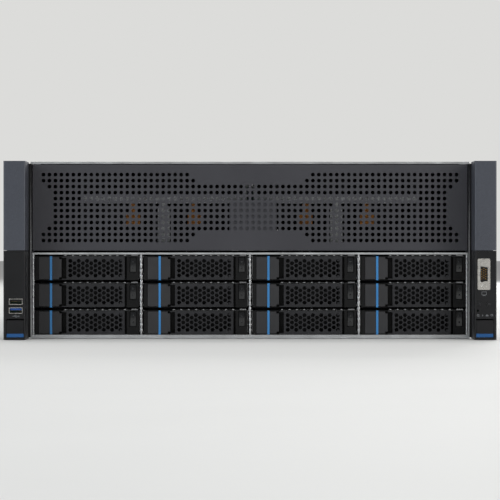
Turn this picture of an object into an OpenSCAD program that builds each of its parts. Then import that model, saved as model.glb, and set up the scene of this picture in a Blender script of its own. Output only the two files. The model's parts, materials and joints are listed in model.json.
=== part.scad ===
// Rack server, four units high, for graphics cards.
// Twelve hot-swap drive carriers and a perforated fan panel in front, a rack ear at each side,
// eight double-width cards, four power supplies and the boards inside, and a lift-off lid.
// Millimetres. X to the right, Y to the rear, Z up. The origin is the middle of the underside.

/* [Case] */
// Depth of the steel case, without ears and handles
body_d = 800; // [660:5:960]
// Thickness of the case's sheet steel
sheet = 1.2; // [1:0.1:1.5]
// Width of the flange that carries the lid
lid_flange = 10; // [8:0.5:14]
// Height of the folded edge in front of the lowest drives
lip_h = 3.6; // [3:0.1:6]
// Depth of the fixed strip of roof over the front panel
roof_strip = 20; // [18:1:30]
// Spacing of the two slide studs in each pair
stud_step = 180; // [120:5:220]

/* [Rack ears] */
// Reach of each ear beyond the side of the case
ear_reach = 23.3; // [21:0.1:30]
// How far the ears stand ahead of the case
nose = 32; // [26:1:42]
// Thickness of the bracket screwed to the side of the case
ear_plate = 1.8; // [1.5:0.1:2]
// Thickness of the flange that meets the rack post
ear_flange = 2.5; // [2:0.1:4]
// Wall of the ear's moulded fascia and of its painted cover
ear_wall = 1.6; // [1.2:0.1:1.8]
// Rack screw, from the side of the case
rack_screw_out = 14.55; // [13:0.05:16]
// Rack screw's height
rack_screw_z = 12.4; // [11:0.1:14]
// Radius of the clearance hole for the rack screw
rack_hole_r = 3.4; // [3:0.1:3.6]

/* [Drives] */
// Columns of drives
cols = 4; // [3:1:4]
// Rows of drives
rows = 3; // [2:1:3]
// Width of a drive
drive_w = 101.6; // [84:0.1:122]
// Height of a drive
drive_h = 25.4; // [25:0.1:30.5]
// Length of a drive
drive_d = 147; // [122:1:177]
// Air above each drive
row_air = 1.6; // [1.6:0.1:4]

/* [Drive carriers] */
// Thickness of the carrier's steel side rail
rail_t = 1.2; // [1:0.1:1.5]
// Air between a rail and the sheet beside it
rail_air = 1.5; // [1.2:0.1:2]
// Thickness of the sheets between the columns
divider_t = 1; // [0.8:0.1:1.5]
// Height of a carrier's front
front_h = 23.9; // [23:0.1:24.5]
// Depth of the carrier's moulded head
head_d = 22; // [20:1:28]
// Depth of the pocket that holds lever and button
pocket_d = 7.5; // [7.4:0.1:9]
// Width of the release button
button_w = 22.3; // [18:0.1:24]
// Travel of the release button
button_stroke = 1.5; // [1:0.1:1.5]
// Width of the block at the right end of the head
end_block_w = 11.75; // [10:0.05:14]
// Radius of the lever's hinge pin
pin_r = 1; // [0.8:0.05:1.1]
// Radial clearance round every pin, shaft and round button
fit = 0.05; // [0.02:0.01:0.08]
// Spacing of the lever's hexagonal holes
hex_pitch = 4.8; // [4.4:0.1:6]
// Thickness of the web between two hexagonal holes
hex_web = 0.99; // [0.8:0.01:1.3]

/* [Fan panel] */
// Height of the perforated panel
panel_h = 85.4; // [84:0.1:105]
// Spacing of the panel's round holes
hole_pitch = 5.95; // [5.8:0.05:9]
// Diameter of the panel's round holes
hole_d = 3.8; // [3:0.1:4.6]
// Depth of the panel's folded edges
panel_fold = 10; // [6:0.5:14]

/* [Fans] */
// Side of a square fan
fan_side = 80; // [66:1:84]
// Depth of a fan
fan_depth = 38; // [32:1:45]
// Spacing of the fans in a tray
fan_step = 84; // [84:0.5:90]
// Blades on each fan
blades = 7; // [5:1:9]

/* [Cards] */
// Length of a graphics card
card_l = 267; // [222:1:320]
// Height of a graphics card
card_h = 106; // [88:1:108]
// Thickness of a double-width card
card_t = 38; // [34:0.5:39]
// Width of one expansion slot
slot_w = 20.32; // [20:0.01:21]

/* [Power supplies] */
// Width of a power supply
psu_w = 73.5; // [61:0.5:74]
// Height of a power supply
psu_h = 40; // [38:0.5:41]
// Depth of a power supply's case
psu_d = 185; // [154:1:222]
// Reach of a power supply's handle
psu_handle = 28; // [23:1:34]

/* [Hidden] */
$fn = 48;
// Gap left between two pieces that are screwed or pushed together
seam = 0.05;

// Widths across the case
col_pitch = drive_w + 2 * (rail_t + rail_air) + divider_t;
cage_half = (cols * col_pitch + divider_t) / 2;
cage_air = 0.3;
inner_half = cage_half + cage_air;
body_half = inner_half + sheet;

// Heights up the front
slide_air = 0.2;
row_pitch = drive_h + row_air;
drive_z = lip_h + slide_air;
deck_z = drive_z + (rows - 1) * row_pitch + drive_h + slide_air;
deck_t = 1.8;
deck_top = deck_z + deck_t;
panel_low = 2.1;
panel_z = deck_top + panel_low;
panel_top = panel_z + panel_h;
psu_air = 0.4;
bay_wall = 1;
psu_pitch = psu_w + 2 * psu_air + bay_wall;
psu_z = sheet + 0.3;
bay_z = psu_z + psu_h + 2 * psu_air;
board_t = 1.6;
socket_h = 11;
card_board_z = bay_z + bay_wall + 2;
card_z = card_board_z + board_t + socket_h + 0.3;
card_air = 10;
lid_z = max(panel_top + 1.6, card_z + card_h + card_air);
body_h = lid_z + sheet;

// Places along the depth
half_l = (nose + body_d + psu_handle) / 2;
front_y = nose - half_l;
rear_y = front_y + body_d;
face_y = front_y - 1;
drive_y = face_y + head_d + 1;
plug_d = 6.8;
backplane_y = drive_y + drive_d + plug_d;
psu_y = rear_y - psu_d;
bracket_t = 1;
card_y = rear_y - sheet - bracket_t - card_l;
shelf_y = card_y - 10;
lid_y = front_y + roof_strip + 0.5;

// Supplies stand in pairs at each side, or singly in a case too narrow for pairs
psu_side = inner_half > 2 * psu_pitch + 30 ? 2 : 1;
// Trays of two fans, side by side as far as the width allows
tray_pitch = fan_step + fan_side + 10;
trays = min(2, floor((2 * inner_half + 8) / tray_pitch));

// Names of the pieces, row 1 at the bottom and column 1 at the left
function bay_name(what, row, col) = str(what, "_r", row + 1, "_c", col + 1);

// ---------------------------------------------------------------- shared shapes

// A flat outline in X and Z, made a slab from y for a thickness t
module slab_y(y, t) {
    translate([0, y + t, 0]) rotate([90, 0, 0]) linear_extrude(t) children();
}

// A flat outline in Y and Z, made a slab from x for a thickness t
module slab_x(x, t) {
    translate([x, 0, 0]) rotate([90, 0, 90]) linear_extrude(t) children();
}

// A rectangle from corner a to corner b
module rect(a, b) {
    translate(a) square(b - a);
}

// A block from corner a to corner b
module block(a, b) {
    translate(a) cube(b - a);
}

// A rectangle about the middle with round corners
module rounded(w, h, r) {
    square([w, h - 2 * r], center = true);
    square([w - 2 * r, h], center = true);
    for (x = [-1, 1]) for (y = [-1, 1]) translate([x * (w / 2 - r), y * (h / 2 - r)]) circle(r);
}

// A rectangle from corner a to corner b with round corners
module rounded_at(a, b, r) {
    translate((a + b) / 2) rounded(b[0] - a[0], b[1] - a[1], r);
}

// A round bar along X, Y or Z, from its middle
module bar_x(r, l) { rotate([0, 90, 0]) cylinder(r = r, h = l, center = true); }
module bar_y(r, l) { rotate([90, 0, 0]) cylinder(r = r, h = l, center = true); }
module bar_z(r, l) { cylinder(r = r, h = l, center = true); }

// ---------------------------------------------------------------- case

stud_r = 3;
rail_z = body_h / 2;
stud_ends = [front_y + 90, rear_y - 90 - stud_step];
rail_screw_r = 2.15;
rail_screws = [front_y + 60, rear_y - 290];

// Shouldered studs that the slide rails hook on, in two pairs on each side
module slide_studs(side) {
    for (y0 = stud_ends) for (k = [0, 1]) translate([side * body_half, y0 + k * stud_step, rail_z]) {
        translate([side * 1.1, 0, 0]) bar_x(stud_r, 2.2 + 0.4);
        translate([side * 2.7, 0, 0]) bar_x(stud_r + 1.5, 1);
    }
}

// Floor and sides, bent from one sheet, with the lid's flanges and the front lip
module tub_shell() {
    w = body_half;
    i = inner_half;
    difference() {
        slab_y(front_y, body_d) polygon([
            [-w, 0], [w, 0], [w, lid_z], [w - lid_flange, lid_z], [w - lid_flange, lid_z - sheet],
            [i, lid_z - sheet], [i, sheet], [-i, sheet], [-i, lid_z - sheet],
            [lid_flange - w, lid_z - sheet], [lid_flange - w, lid_z], [-w, lid_z]]);
        // screws that hold the slide rails
        for (side = [-1, 1]) for (y = rail_screws) translate([side * w, y, rail_z]) bar_x(rail_screw_r, 4);
    }
    slab_y(front_y, sheet) rect([-i, 0], [i, lip_h]);
}

// Fixed strip of roof in front of the lid, with its front edge folded down
module roof() {
    difference() {
        block([-body_half, front_y, lid_z + seam], [body_half, front_y + roof_strip, body_h]);
        for (side = [-1, 1]) translate([side * body_half * 0.8, front_y + roof_strip / 2, body_h]) bar_z(2.5, 1);
    }
    block([lid_flange - body_half + seam, front_y, panel_top + 0.8], [body_half - lid_flange - seam, front_y + sheet, lid_z + 0.5]);
}

bay_inner = inner_half - psu_side * psu_pitch - psu_air;
function psu_x(i) = (i < psu_side ? -1 : 1) * (bay_inner + psu_air + psu_pitch * (0.5 + (i < psu_side ? psu_side - 1 - i : i - psu_side)));

// Slots across the rear: double ones at each side, and single ones between them
card_edge = 3;
cards_side = min(4, floor((inner_half - card_edge) / (2 * slot_w)));
spare_slots = floor(2 * (inner_half - card_edge) / slot_w) - 4 * cards_side;
function card_x(i) = (i < cards_side ? -1 : 1) * (inner_half - card_edge - (2 * (i % cards_side) + 1) * slot_w);
function spare_x(i) = (i - (spare_slots - 1) / 2) * slot_w;
slot_z = bay_z + 8;
slot_h = card_h + 8;

// Connectors between the supplies at the rear, from left to right: two network sockets, two USB pairs and a
// monitor socket, which moves up above the others in a case too narrow for a single row
io_z = 11;
io_kinds = [[16, 13.5], [16, 13.5], [13.2, 16], [13.2, 16], [31, 12.5]];
io_half = bay_inner - 1.5;
function io_width(n) = n == 0 ? 0 : io_kinds[n - 1][0] + io_width(n - 1);
io_row = io_width(5) + 4 < 2 * io_half ? 5 : 4;
io_gap = min(5, (2 * io_half - io_width(io_row)) / (io_row - 1));
// Middle X, low Z, width and height of each
io_ports = [for (n = [0:4]) let (k = io_kinds[n], x0 = -(io_width(io_row) + (io_row - 1) * io_gap) / 2) n < io_row
    ? [x0 + io_width(n) + n * io_gap + k[0] / 2, io_z, k[0], k[1]] : [0, io_z + 17, k[0], k[1]]];

// Rear wall with openings for cards, supplies and connectors
module rear_wall() {
    slab_y(rear_y - sheet, sheet) difference() {
        rect([seam - inner_half, sheet + seam], [inner_half - seam, lid_z - sheet - seam]);
        for (i = [0:2 * psu_side - 1]) rect([psu_x(i) - psu_w / 2 - psu_air, psu_z - 0.1],
                             [psu_x(i) + psu_w / 2 + psu_air, psu_z + psu_h + psu_air]);
        for (i = [0:2 * cards_side - 1]) rect([card_x(i) - slot_w + 3, slot_z + 4], [card_x(i) + slot_w - 3, slot_z + slot_h - 8]);
        for (i = [0:1:spare_slots - 1]) rect([spare_x(i) - 7, slot_z + 4], [spare_x(i) + 7, slot_z + slot_h - 8]);
        for (p = io_ports) rect([p[0] - p[2] / 2 - 0.2, p[1] - 0.2], [p[0] + p[2] / 2 + 0.2, p[1] + p[3] + 0.2]);
    }
    block([lid_flange - body_half + seam, rear_y - lid_flange, lid_z - sheet - 0.5],
          [body_half - lid_flange - seam, rear_y, lid_z]);
}

// Walls between the power supplies, and the shelf over them that carries the card board
module supply_bay() {
    y1 = rear_y - sheet - seam;
    block([seam - inner_half, shelf_y, bay_z], [inner_half - seam, y1, bay_z + bay_wall]);
    for (side = [-1, 1]) for (k = [1:psu_side])
        slab_x(side * (inner_half - k * psu_pitch) - bay_wall / 2, bay_wall) polygon([
            [psu_y - 8, sheet + seam], [y1, sheet + seam], [y1, bay_z - seam], [psu_y - 2, bay_z - seam],
            [psu_y - 8, bay_z - 8]]);
}

module chassis_tub() color("silver") {
    tub_shell();
    for (side = [-1, 1]) slide_studs(side);
    roof();
    rear_wall();
    supply_bay();
}

// ---------------------------------------------------------------- drive cage and its carriers

function bay_x(col) = (col - (cols - 1) / 2) * col_pitch;
front_zc = drive_z + front_h / 2;
// Everything on a carrier is drawn about its front's middle, with y = 0 on the front face
module at_bay(row, col) {
    translate([bay_x(col), face_y, front_zc + row * row_pitch]) children();
}

rail_h = 20;
rail_zc = (drive_h - front_h) / 2;
guide_t = 1;
guide_y = 14;
cage_edge = 1;

// One upright sheet of the cage: i counts from the left, and ledges stand out where a bay lies beside it
module cage_upright(i) {
    x = (i - cols / 2) * col_pitch;
    reach = (col_pitch - drive_w) / 2 - slide_air;
    slab_x(x - divider_t / 2, divider_t) polygon([
        [front_y, lip_h + seam], [front_y + sheet + seam, lip_h + seam], [front_y + sheet + seam, sheet],
        [backplane_y - seam, sheet], [backplane_y - seam, deck_z - seam], [front_y, deck_z - seam]]);
    for (side = [-1, 1]) if (abs(i + side / 2 - cols / 2) < cols / 2)
        for (row = [0:rows - 1]) for (dz = [-1, 1]) {
            zc = front_zc + row * row_pitch + rail_zc + dz * (rail_h / 2 + slide_air + guide_t / 2);
            translate([x + side * reach / 2, 0, zc - guide_t / 2]) linear_extrude(guide_t)
                rect([-reach / 2, face_y + guide_y], [reach / 2, backplane_y - 2]);
        }
    // folded front edge of the two outer sheets
    if (i == 0 || i == cols) block([x - (i == 0 ? divider_t / 2 : divider_t / 2 + cage_edge), front_y, lip_h + seam],
                                   [x + (i == 0 ? divider_t / 2 + cage_edge : divider_t / 2), front_y + sheet, deck_z - seam]);
}

// Upright sheets between the columns, and the deck over them with feet for the panel
module drive_cage() color("lightsteelblue") {
    for (i = [0:cols]) cage_upright(i);
    block([-cage_half, front_y, deck_z], [cage_half, backplane_y - seam, deck_top]);
    for (side = [-1, 1]) for (x = [0.15, 0.85])
        translate([side * x * cage_half, front_y + panel_fold / 2, deck_top + panel_low / 2 - 0.1]) bar_z(4, panel_low);
}

plug_w = 42;
plug_x = -18;
plug_z = 5;
backplane_t = 1.6;

// Board behind the drives with a socket for each drive and windows for the air
module drive_backplane() {
    color("darkgreen") slab_y(backplane_y, backplane_t) difference() {
        rect([-cage_half + 0.5, sheet + 1], [cage_half - 0.5, deck_z - 0.5]);
        for (row = [0:rows - 1]) for (col = [0:cols - 1]) for (k = [-1, 1])
            translate([bay_x(col) + k * drive_w / 4, front_zc + row * row_pitch + 4]) rounded(drive_w / 3, 9, 2);
    }
    color("black") for (row = [0:rows - 1]) for (col = [0:cols - 1]) at_bay(row, col)
        block([plug_x - plug_w / 2, drive_y - face_y + drive_d + 0.3, plug_z - front_h / 2 - 2.5],
              [plug_x + plug_w / 2, backplane_y - face_y - seam, plug_z - front_h / 2 + 2.5]);
}

// The head's face, from left to right: margin, button, lever, end block
half_w = (col_pitch - divider_t) / 2 - 2;
button_x = 3.9 - half_w;
button_h = 21.9;
lever_x = button_x + button_w + 0.4;
lever_h = 23;
lever_t = 1.8;
block_x = half_w - end_block_w;
lever_end = block_x - 2.3;
stripe_w = 2.2;
stripe_x = button_x + button_w * 0.535;
hinge_x = block_x - 5.2;
hinge_y = 4;
ear_h = 13.6;
knuckle_r = 2.6;

// Moulded head of a carrier: a shroud open to the rear, a pocket in front, and the hinge pin
module carrier_head() {
    h = front_h / 2;
    difference() {
        union() {
            block([-half_w, 0, -h], [half_w, 12, h]);
            block([-drive_w / 2, 12, -h], [drive_w / 2, head_d, h]);
        }
        // shroud behind the pocket
        block([2 - drive_w / 2, pocket_d + 2.5, 1.5 - h], [drive_w / 2 - 2, head_d + 1, h - 1.5]);
        // pocket for the button, and the open one for the lever
        block([button_x - 0.4, -1, -button_h / 2 - 0.4], [lever_x, pocket_d, button_h / 2 + 0.4]);
        block([lever_x - 0.4, -1, -h - 1], [block_x, pocket_d, h + 1]);
        // notches for the button's stripe
        block([stripe_x - stripe_w / 2 - 0.4, -1, -h - 1], [stripe_x + stripe_w / 2 + 0.4, 4, h + 1]);
        // windows for the air behind the lever
        for (k = [0:floor((block_x - lever_x - 6) / 13) - 1]) translate([lever_x + 6 + 13 * k, 0, 0]) slab_y(pocket_d - 1, 5)
            rect([0, 2.5 - h], [11, h - 2.5]);
        // light window in the end block
        block([half_w - 9.1, -1, -4.2], [half_w - 2.2, 3, h - 1]);
    }
    block([hinge_x - 1.9, hinge_y, -ear_h / 2], [hinge_x + 1.9, pocket_d + 0.5, ear_h / 2]);
    translate([hinge_x, hinge_y, 0]) {
        bar_z(1.9, ear_h);
        bar_z(pin_r, lever_h - 0.6);
    }
}

// One steel side rail with two windows
module carrier_rail(side) {
    slab_x(side > 0 ? drive_w / 2 + seam : -drive_w / 2 - rail_t, rail_t - seam) difference() {
        translate([0, rail_zc]) rect([12.3, -rail_h / 2], [drive_y - face_y + drive_d - 5, rail_h / 2]);
        for (y = [0.3, 0.68]) translate([drive_y - face_y + drive_d * y, rail_zc]) rounded(drive_d * 0.26, 9, 3);
    }
}

// Steel spring strip on top of the head, with a row of fingers and an end tab
module spring_strip() {
    n = floor((block_x - lever_x) / 7.4);
    slab_y(8, 3) {
        z0 = front_h / 2 + seam;
        rect([lever_x + 1, z0], [half_w - 1.2, z0 + 0.25]);
        for (i = [0:n]) translate([lever_x + 2 + 7.4 * i, z0]) square([1.8, 1.1]);
        translate([half_w - 7.7, z0]) square([6.5, 1.3]);
    }
}

// A three-and-a-half-inch drive: case with cut corners, motor boss, lid recess and rear plug
module drive_unit() {
    w = drive_w / 2;
    y0 = drive_y - face_y;
    y1 = y0 + drive_d;
    z0 = -front_h / 2;
    difference() {
        translate([0, 0, z0]) linear_extrude(drive_h) polygon([
            [-w, y0 + 2], [2 - w, y0], [w - 2, y0], [w, y0 + 2], [w, y1], [-w, y1]]);
        // lid set down inside a rim
        translate([0, 0, z0 + drive_h - 0.6]) linear_extrude(1)
            translate([0, (y0 + y1) / 2]) rounded(drive_w - 5, drive_d - 5, 6);
        // circuit board recess underneath
        translate([0, (y0 + y1) / 2 + 8, z0 - 1]) linear_extrude(2.5) rounded(drive_w - 8, drive_d - 24, 3);
        // plug recess
        block([plug_x - plug_w / 2 - 1, y1 - 6, z0 + 1.2], [plug_x + plug_w / 2 + 1, y1 + 1, z0 + plug_z + 3.5]);
    }
    translate([0, y0 + drive_d * 0.45, z0 + drive_h - 0.4]) bar_z(drive_w * 0.3, 0.5);
    block([plug_x - plug_w / 2 + 2, y1 - 6.5, z0 + plug_z - 1.2], [plug_x + plug_w / 2 - 2, y1 - 0.2, z0 + plug_z + 0.2]);
}

module drive_carrier(row, col) at_bay(row, col) {
    color("#1c1c1e") carrier_head();
    color("silver") for (side = [-1, 1]) carrier_rail(side);
    color("gainsboro") spring_strip();
    color("darkgray") drive_unit();
}

// Honeycomb across the lever, in columns that step by half a hole
hex_step = hex_pitch * sqrt(3) / 2;
comb_x0 = lever_x + 5.3;
comb_w = lever_end - 0.9 - comb_x0;
comb_cols = floor((comb_w - 1.5) / hex_step);
module honeycomb() {
    for (c = [0:comb_cols - 1]) for (r = [0:(c % 2 == 0 ? 3 : 2)])
        translate([comb_x0 + comb_w / 2 + (c - (comb_cols - 1) / 2) * hex_step, (r - (c % 2 == 0 ? 1.5 : 1)) * hex_pitch])
            circle(r = (hex_pitch - hex_web) / sqrt(3), $fn = 6);
}

// Ejector lever: pierced face plate with stiffening edges, a catch end and two hinge knuckles
module carrier_lever(row, col) at_bay(row, col) color("#3a3a3c") {
    h = lever_h / 2;
    difference() {
        union() {
            slab_y(0, lever_t) difference() {
                rect([lever_x, -h], [lever_end, h]);
                rect([lever_x - 1, 1.1 - h], [lever_x + 4.5, h - 1.1]);
                honeycomb();
            }
            for (dz = [-1, 1]) {
                block([lever_x, lever_t / 2, dz * (h - 0.4) - 0.4], [hinge_x - 4, 5, dz * (h - 0.4) + 0.4]);
                translate([0, 0, dz * (h + ear_h / 2 + 0.2) / 2]) {
                    k = h - ear_h / 2 - 0.2;
                    translate([hinge_x, hinge_y, 0]) bar_z(knuckle_r, k);
                    block([hinge_x - 2, lever_t / 2, -k / 2], [hinge_x + 2, hinge_y, k / 2]);
                }
            }
        }
        translate([hinge_x, hinge_y, 0]) bar_z(pin_r + fit, lever_h + 2);
    }
}

// Release button: a plate with a skirt, and the raised bar that a finger pushes
module release_button(row, col) at_bay(row, col) {
    h = button_h / 2;
    x1 = button_x + button_w;
    color("#303032") difference() {
        union() {
            slab_y(0, 2) polygon([[button_x, -h], [x1 - 2.5, -h], [x1 - 2.5, 2 - h], [x1, 2 - h],
                                  [x1, h - 2], [x1 - 2.5, h - 2], [x1 - 2.5, h], [button_x, h]]);
            slab_y(1, 4.5) difference() {
                rect([button_x, -h], [x1 - 3, h]);
                rect([button_x + 1.2, 1.2 - h], [x1 - 4.2, h - 1.2]);
            }
            translate([stripe_x, 3.4, 0]) bar_y(3, 4.4);
        }
        block([stripe_x - stripe_w / 2 - seam, -1, -h - 1], [stripe_x + stripe_w / 2 + seam, 0.8 + seam, h + 1]);
    }
    color("#3f7db4") block([stripe_x - stripe_w / 2, -0.4, -front_h / 2], [stripe_x + stripe_w / 2, 0.8, front_h / 2]);
}

// ---------------------------------------------------------------- perforated panel over the drives

panel_half = inner_half - 0.8;
hole_cols = floor((2 * panel_half - 20) / hole_pitch) + 1;
hole_rows = floor((panel_h - 19) / hole_pitch) + 1;
// Holes run from the side inwards; the outer rows start one hole further out and stop short of the middle
function first_hole(v) = v < 2 ? 0 : v == 2 ? 1 : 2;
function last_hole(v) = v < 2 ? floor(hole_cols * 0.35) + v : hole_cols;
function panel_holes() = [for (row = [0:hole_rows - 1]) for (col = [0:hole_cols - 1])
    let (m = min(col, hole_cols - 1 - col), v = min(row, hole_rows - 1 - row))
    if (m >= first_hole(v) && m <= last_hole(v))
        [(col - (hole_cols - 1) / 2) * hole_pitch, (row - (hole_rows - 1) / 2) * hole_pitch]];

module gpu_front_panel() color("#4a4a50") {
    zc = (panel_z + panel_top) / 2;
    slab_y(front_y, sheet) difference() {
        rect([-panel_half, panel_z], [panel_half, panel_top]);
        for (p = panel_holes()) translate([p[0], zc + p[1]]) circle(d = hole_d);
    }
    slab_y(front_y + sheet, panel_fold) difference() {
        rect([-panel_half, panel_z], [panel_half, panel_top]);
        rect([sheet - panel_half, panel_z + sheet], [panel_half - sheet, panel_top - sheet]);
    }
    // stiffener behind the middle, welded to the panel
    slab_y(front_y + sheet, 1) translate([3, zc - 12]) rounded(47, 36, 1);
}

// ---------------------------------------------------------------- rack ears

ear_x = body_half + ear_plate;
ear_out = body_half + ear_reach;
ear_w = ear_out - ear_x;
nose_y = front_y - nose;
flange_y = front_y - ear_flange;
shell_y = flange_y - seam;
vga_z = 64.1;
fascia_h = max(deck_top + panel_low, vga_z + 23.2);
screw_x = body_half + rack_screw_out;

latch_w = 16.6;
latch_xc = ear_x + 1.2 + (latch_w + 0.8) / 2;
latch_z0 = 2.4;
latch_top = 19;
latch_pin = [2.8, 16.9];

// Bracket: a plate along the case's side, bent out into the flange that the rack screw holds
module ear_bracket() {
    slab_x(body_half, ear_plate) polygon([
        [flange_y, 1], [front_y + 46, 1], [front_y + 58, 13], [front_y + 58, body_h - 14],
        [front_y + 46, body_h - 2], [flange_y, body_h - 2]]);
    slab_y(flange_y, ear_flange) difference() {
        rect([ear_x, 0], [ear_out, body_h - 0.5]);
        translate([screw_x, rack_screw_z]) circle(r = rack_hole_r);
    }
}

// A box from z0 to z1 with rounded front edges, hollow from behind
module ear_box(z0, z1, wall) {
    r = 1.5;
    difference() {
        translate([0, 0, z0]) linear_extrude(z1 - z0) {
            rect([ear_x, nose_y + r], [ear_out, shell_y]);
            rect([ear_x + r, nose_y], [ear_out - r, shell_y]);
            for (x = [ear_x + r, ear_out - r]) translate([x, nose_y + r]) circle(r);
        }
        block([ear_x + wall, nose_y + wall, z0 + wall], [ear_out - wall, shell_y + 1, z1 - wall]);
    }
}

// Moulded lower part: raised rim, ledge over the latch, pocket and the latch's hinge pin
module ear_fascia() {
    zc = fascia_h / 2;
    difference() {
        ear_box(0, fascia_h - 0.15, ear_wall);
        slab_y(nose_y - 1, 1.4) difference() {
            translate([(ear_x + ear_out) / 2, zc]) rounded(ear_w - 3, fascia_h - 3, 2);
            rect([ear_x, latch_top + 1.6], [ear_out, latch_top + 2.8]);
        }
        slab_y(nose_y - 1, 20) rect([latch_xc - latch_w / 2 - 0.4, 2], [latch_xc + latch_w / 2 + 0.4, latch_top + 1.3]);
        children();
    }
    translate([latch_xc, nose_y + latch_pin[0], latch_pin[1]]) bar_x(pin_r, latch_w + 0.8 + 0.4);
}

// Pulls a pin's ends into the wall: two cheeks behind the pocket's edges
module latch_cheeks() {
    for (side = [-1, 1]) slab_x(latch_xc + side * (latch_w / 2 + 0.4 + 0.6) - 0.6, 1.2)
        rect([nose_y + ear_wall - 0.1, latch_pin[1] - 2.5], [nose_y + latch_pin[0] + 2.5, latch_pin[1] + 2.5]);
}

// Painted upper cover, set just off the fascia
module ear_cover() {
    ear_box(fascia_h + 0.15, body_h - 0.5, sheet);
}

// Front sockets and buttons, from the outer edge of the case: X offset and height
usb_xc = ear_x + 9.4;
usb_z = [28.6, 37.2];
usb_size = [13.1, 5.7];
vga_xc = ear_x + 9.2;
push_r = 2.3;
power_at = [ear_x + 4.9, 34.9];
id_at = [ear_x + 14.2, 34.9];
reset_at = [ear_x + 3.2, 28.4];

module left_ear() mirror([1, 0, 0]) {
    color("silver") ear_bracket();
    color("#5b5e66") ear_cover();
    color("#202022") {
        ear_fascia() slab_y(nose_y - 1, 10) for (z = usb_z)
            translate([usb_xc, z]) square(usb_size + [0.4, 0.4], center = true);
        latch_cheeks();
    }
}

module right_ear() {
    color("silver") ear_bracket();
    color("#5b5e66") ear_cover();
    color("#202022") {
        ear_fascia() {
            slab_y(nose_y - 1, 10) {
                translate([vga_xc, vga_z]) square([12.9, 31.2], center = true);
                translate(reset_at) circle(1.1);
            }
            for (p = [power_at, id_at]) translate([p[0], nose_y, p[1]]) bar_y(push_r + fit, 20);
        }
        latch_cheeks();
    }
}

// Flap over the rack screw: a plate with a hinge knuckle and a blue lip to pull
module ear_latch() {
    at = [latch_xc, nose_y + latch_pin[0], latch_pin[1]];
    z1 = latch_z0 + 3.5;
    color("#2a2a2c") difference() {
        union() {
            slab_y(nose_y + 0.4, 1.8) rect([latch_xc - latch_w / 2, z1], [latch_xc + latch_w / 2, latch_top]);
            translate(at) bar_x(2, 9);
        }
        translate(at) bar_x(pin_r + fit, latch_w + 2);
    }
    color("#3f7db4") slab_x(latch_xc - latch_w / 2, latch_w) polygon([
        [nose_y, latch_z0], [nose_y + 3.6, latch_z0], [nose_y + 2.2, z1 - seam], [nose_y + 0.4, z1 - seam]]);
}

module left_ear_latch() mirror([1, 0, 0]) ear_latch();
module right_ear_latch() ear_latch();

// A USB socket: a metal shell with its tongue
module usb_socket(z) {
    translate([usb_xc, 0, z]) {
        color("silver") slab_y(nose_y + 0.3, board_y - nose_y - 0.3 - seam) difference() {
            square(usb_size, center = true);
            square(usb_size - [0.8, 0.8], center = true);
        }
        color("midnightblue") block([-5.6, nose_y + 2, 0.3], [5.6, board_y - seam, 2.45 - seam]);
    }
}

// A fifteen-way monitor socket standing on end, with two hexagonal nuts
module monitor_socket() {
    translate([vga_xc, 0, vga_z]) {
        color("silver") {
            slab_y(nose_y + 1.2, 1) difference() {
                rounded(12.5, 30.8, 1.5);
                polygon(monitor_shape(3.6));
            }
            slab_y(nose_y + 0.2, 11.4 - seam) difference() {
                polygon(monitor_shape(4.1));
                polygon(monitor_shape(3.6));
            }
            for (z = [-12.5, 12.5]) translate([0, nose_y + 2, z]) rotate([90, 0, 0]) cylinder(r = 2.6, h = 1.9, $fn = 6);
        }
        color("midnightblue") slab_y(nose_y + 3, 8.6 - seam) polygon(monitor_shape(3.6 - seam));
    }
}
// Outline of the socket's shell, wider on the inner side, for a half width
function monitor_shape(w) = [[-w, -w - 4.3], [-w, w + 4.3], [w, w + 3.1], [w, -w - 3.1]];

board_y = nose_y + 14.3;
module front_ports() {
    mirror([1, 0, 0]) {
        for (z = usb_z) usb_socket(z);
        color("darkgreen") slab_y(board_y, 1.6) rect([ear_x + 2.2, 24.5], [ear_out - 2.2, 43]);
    }
    monitor_socket();
    color("darkgreen") slab_y(nose_y + 11.6, 1.6) rect([ear_x + 2.2, 22.5], [ear_out - 2.2, vga_z + 17]);
    color("black") for (p = [power_at, id_at])
        block([p[0] - 3, nose_y + 8.2, p[1] - 3], [p[0] + 3, nose_y + 11.6 - seam, p[1] + 3]);
}

// A round push button with a collar that keeps it behind the fascia
module push_button(p) {
    translate([p[0], nose_y, p[1]]) {
        translate([0, 3.3, 0]) bar_y(push_r, 6.4);
        translate([0, 2.9, 0]) bar_y(push_r + 0.6, 1.6);
    }
}
module power_button() color("#111112") push_button(power_at);
module id_button() color("#111112") push_button(id_at);

// ---------------------------------------------------------------- lid and its latch

pan_yc = (front_y + rear_y) / 2 - 60;
pan = [124, 52, 9];
grip = [112, 40, 3];
latch_hinge_y = pan_yc + grip[1] / 2 - 3.5;
latch_hinge_z = body_h - 3.4;

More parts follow.
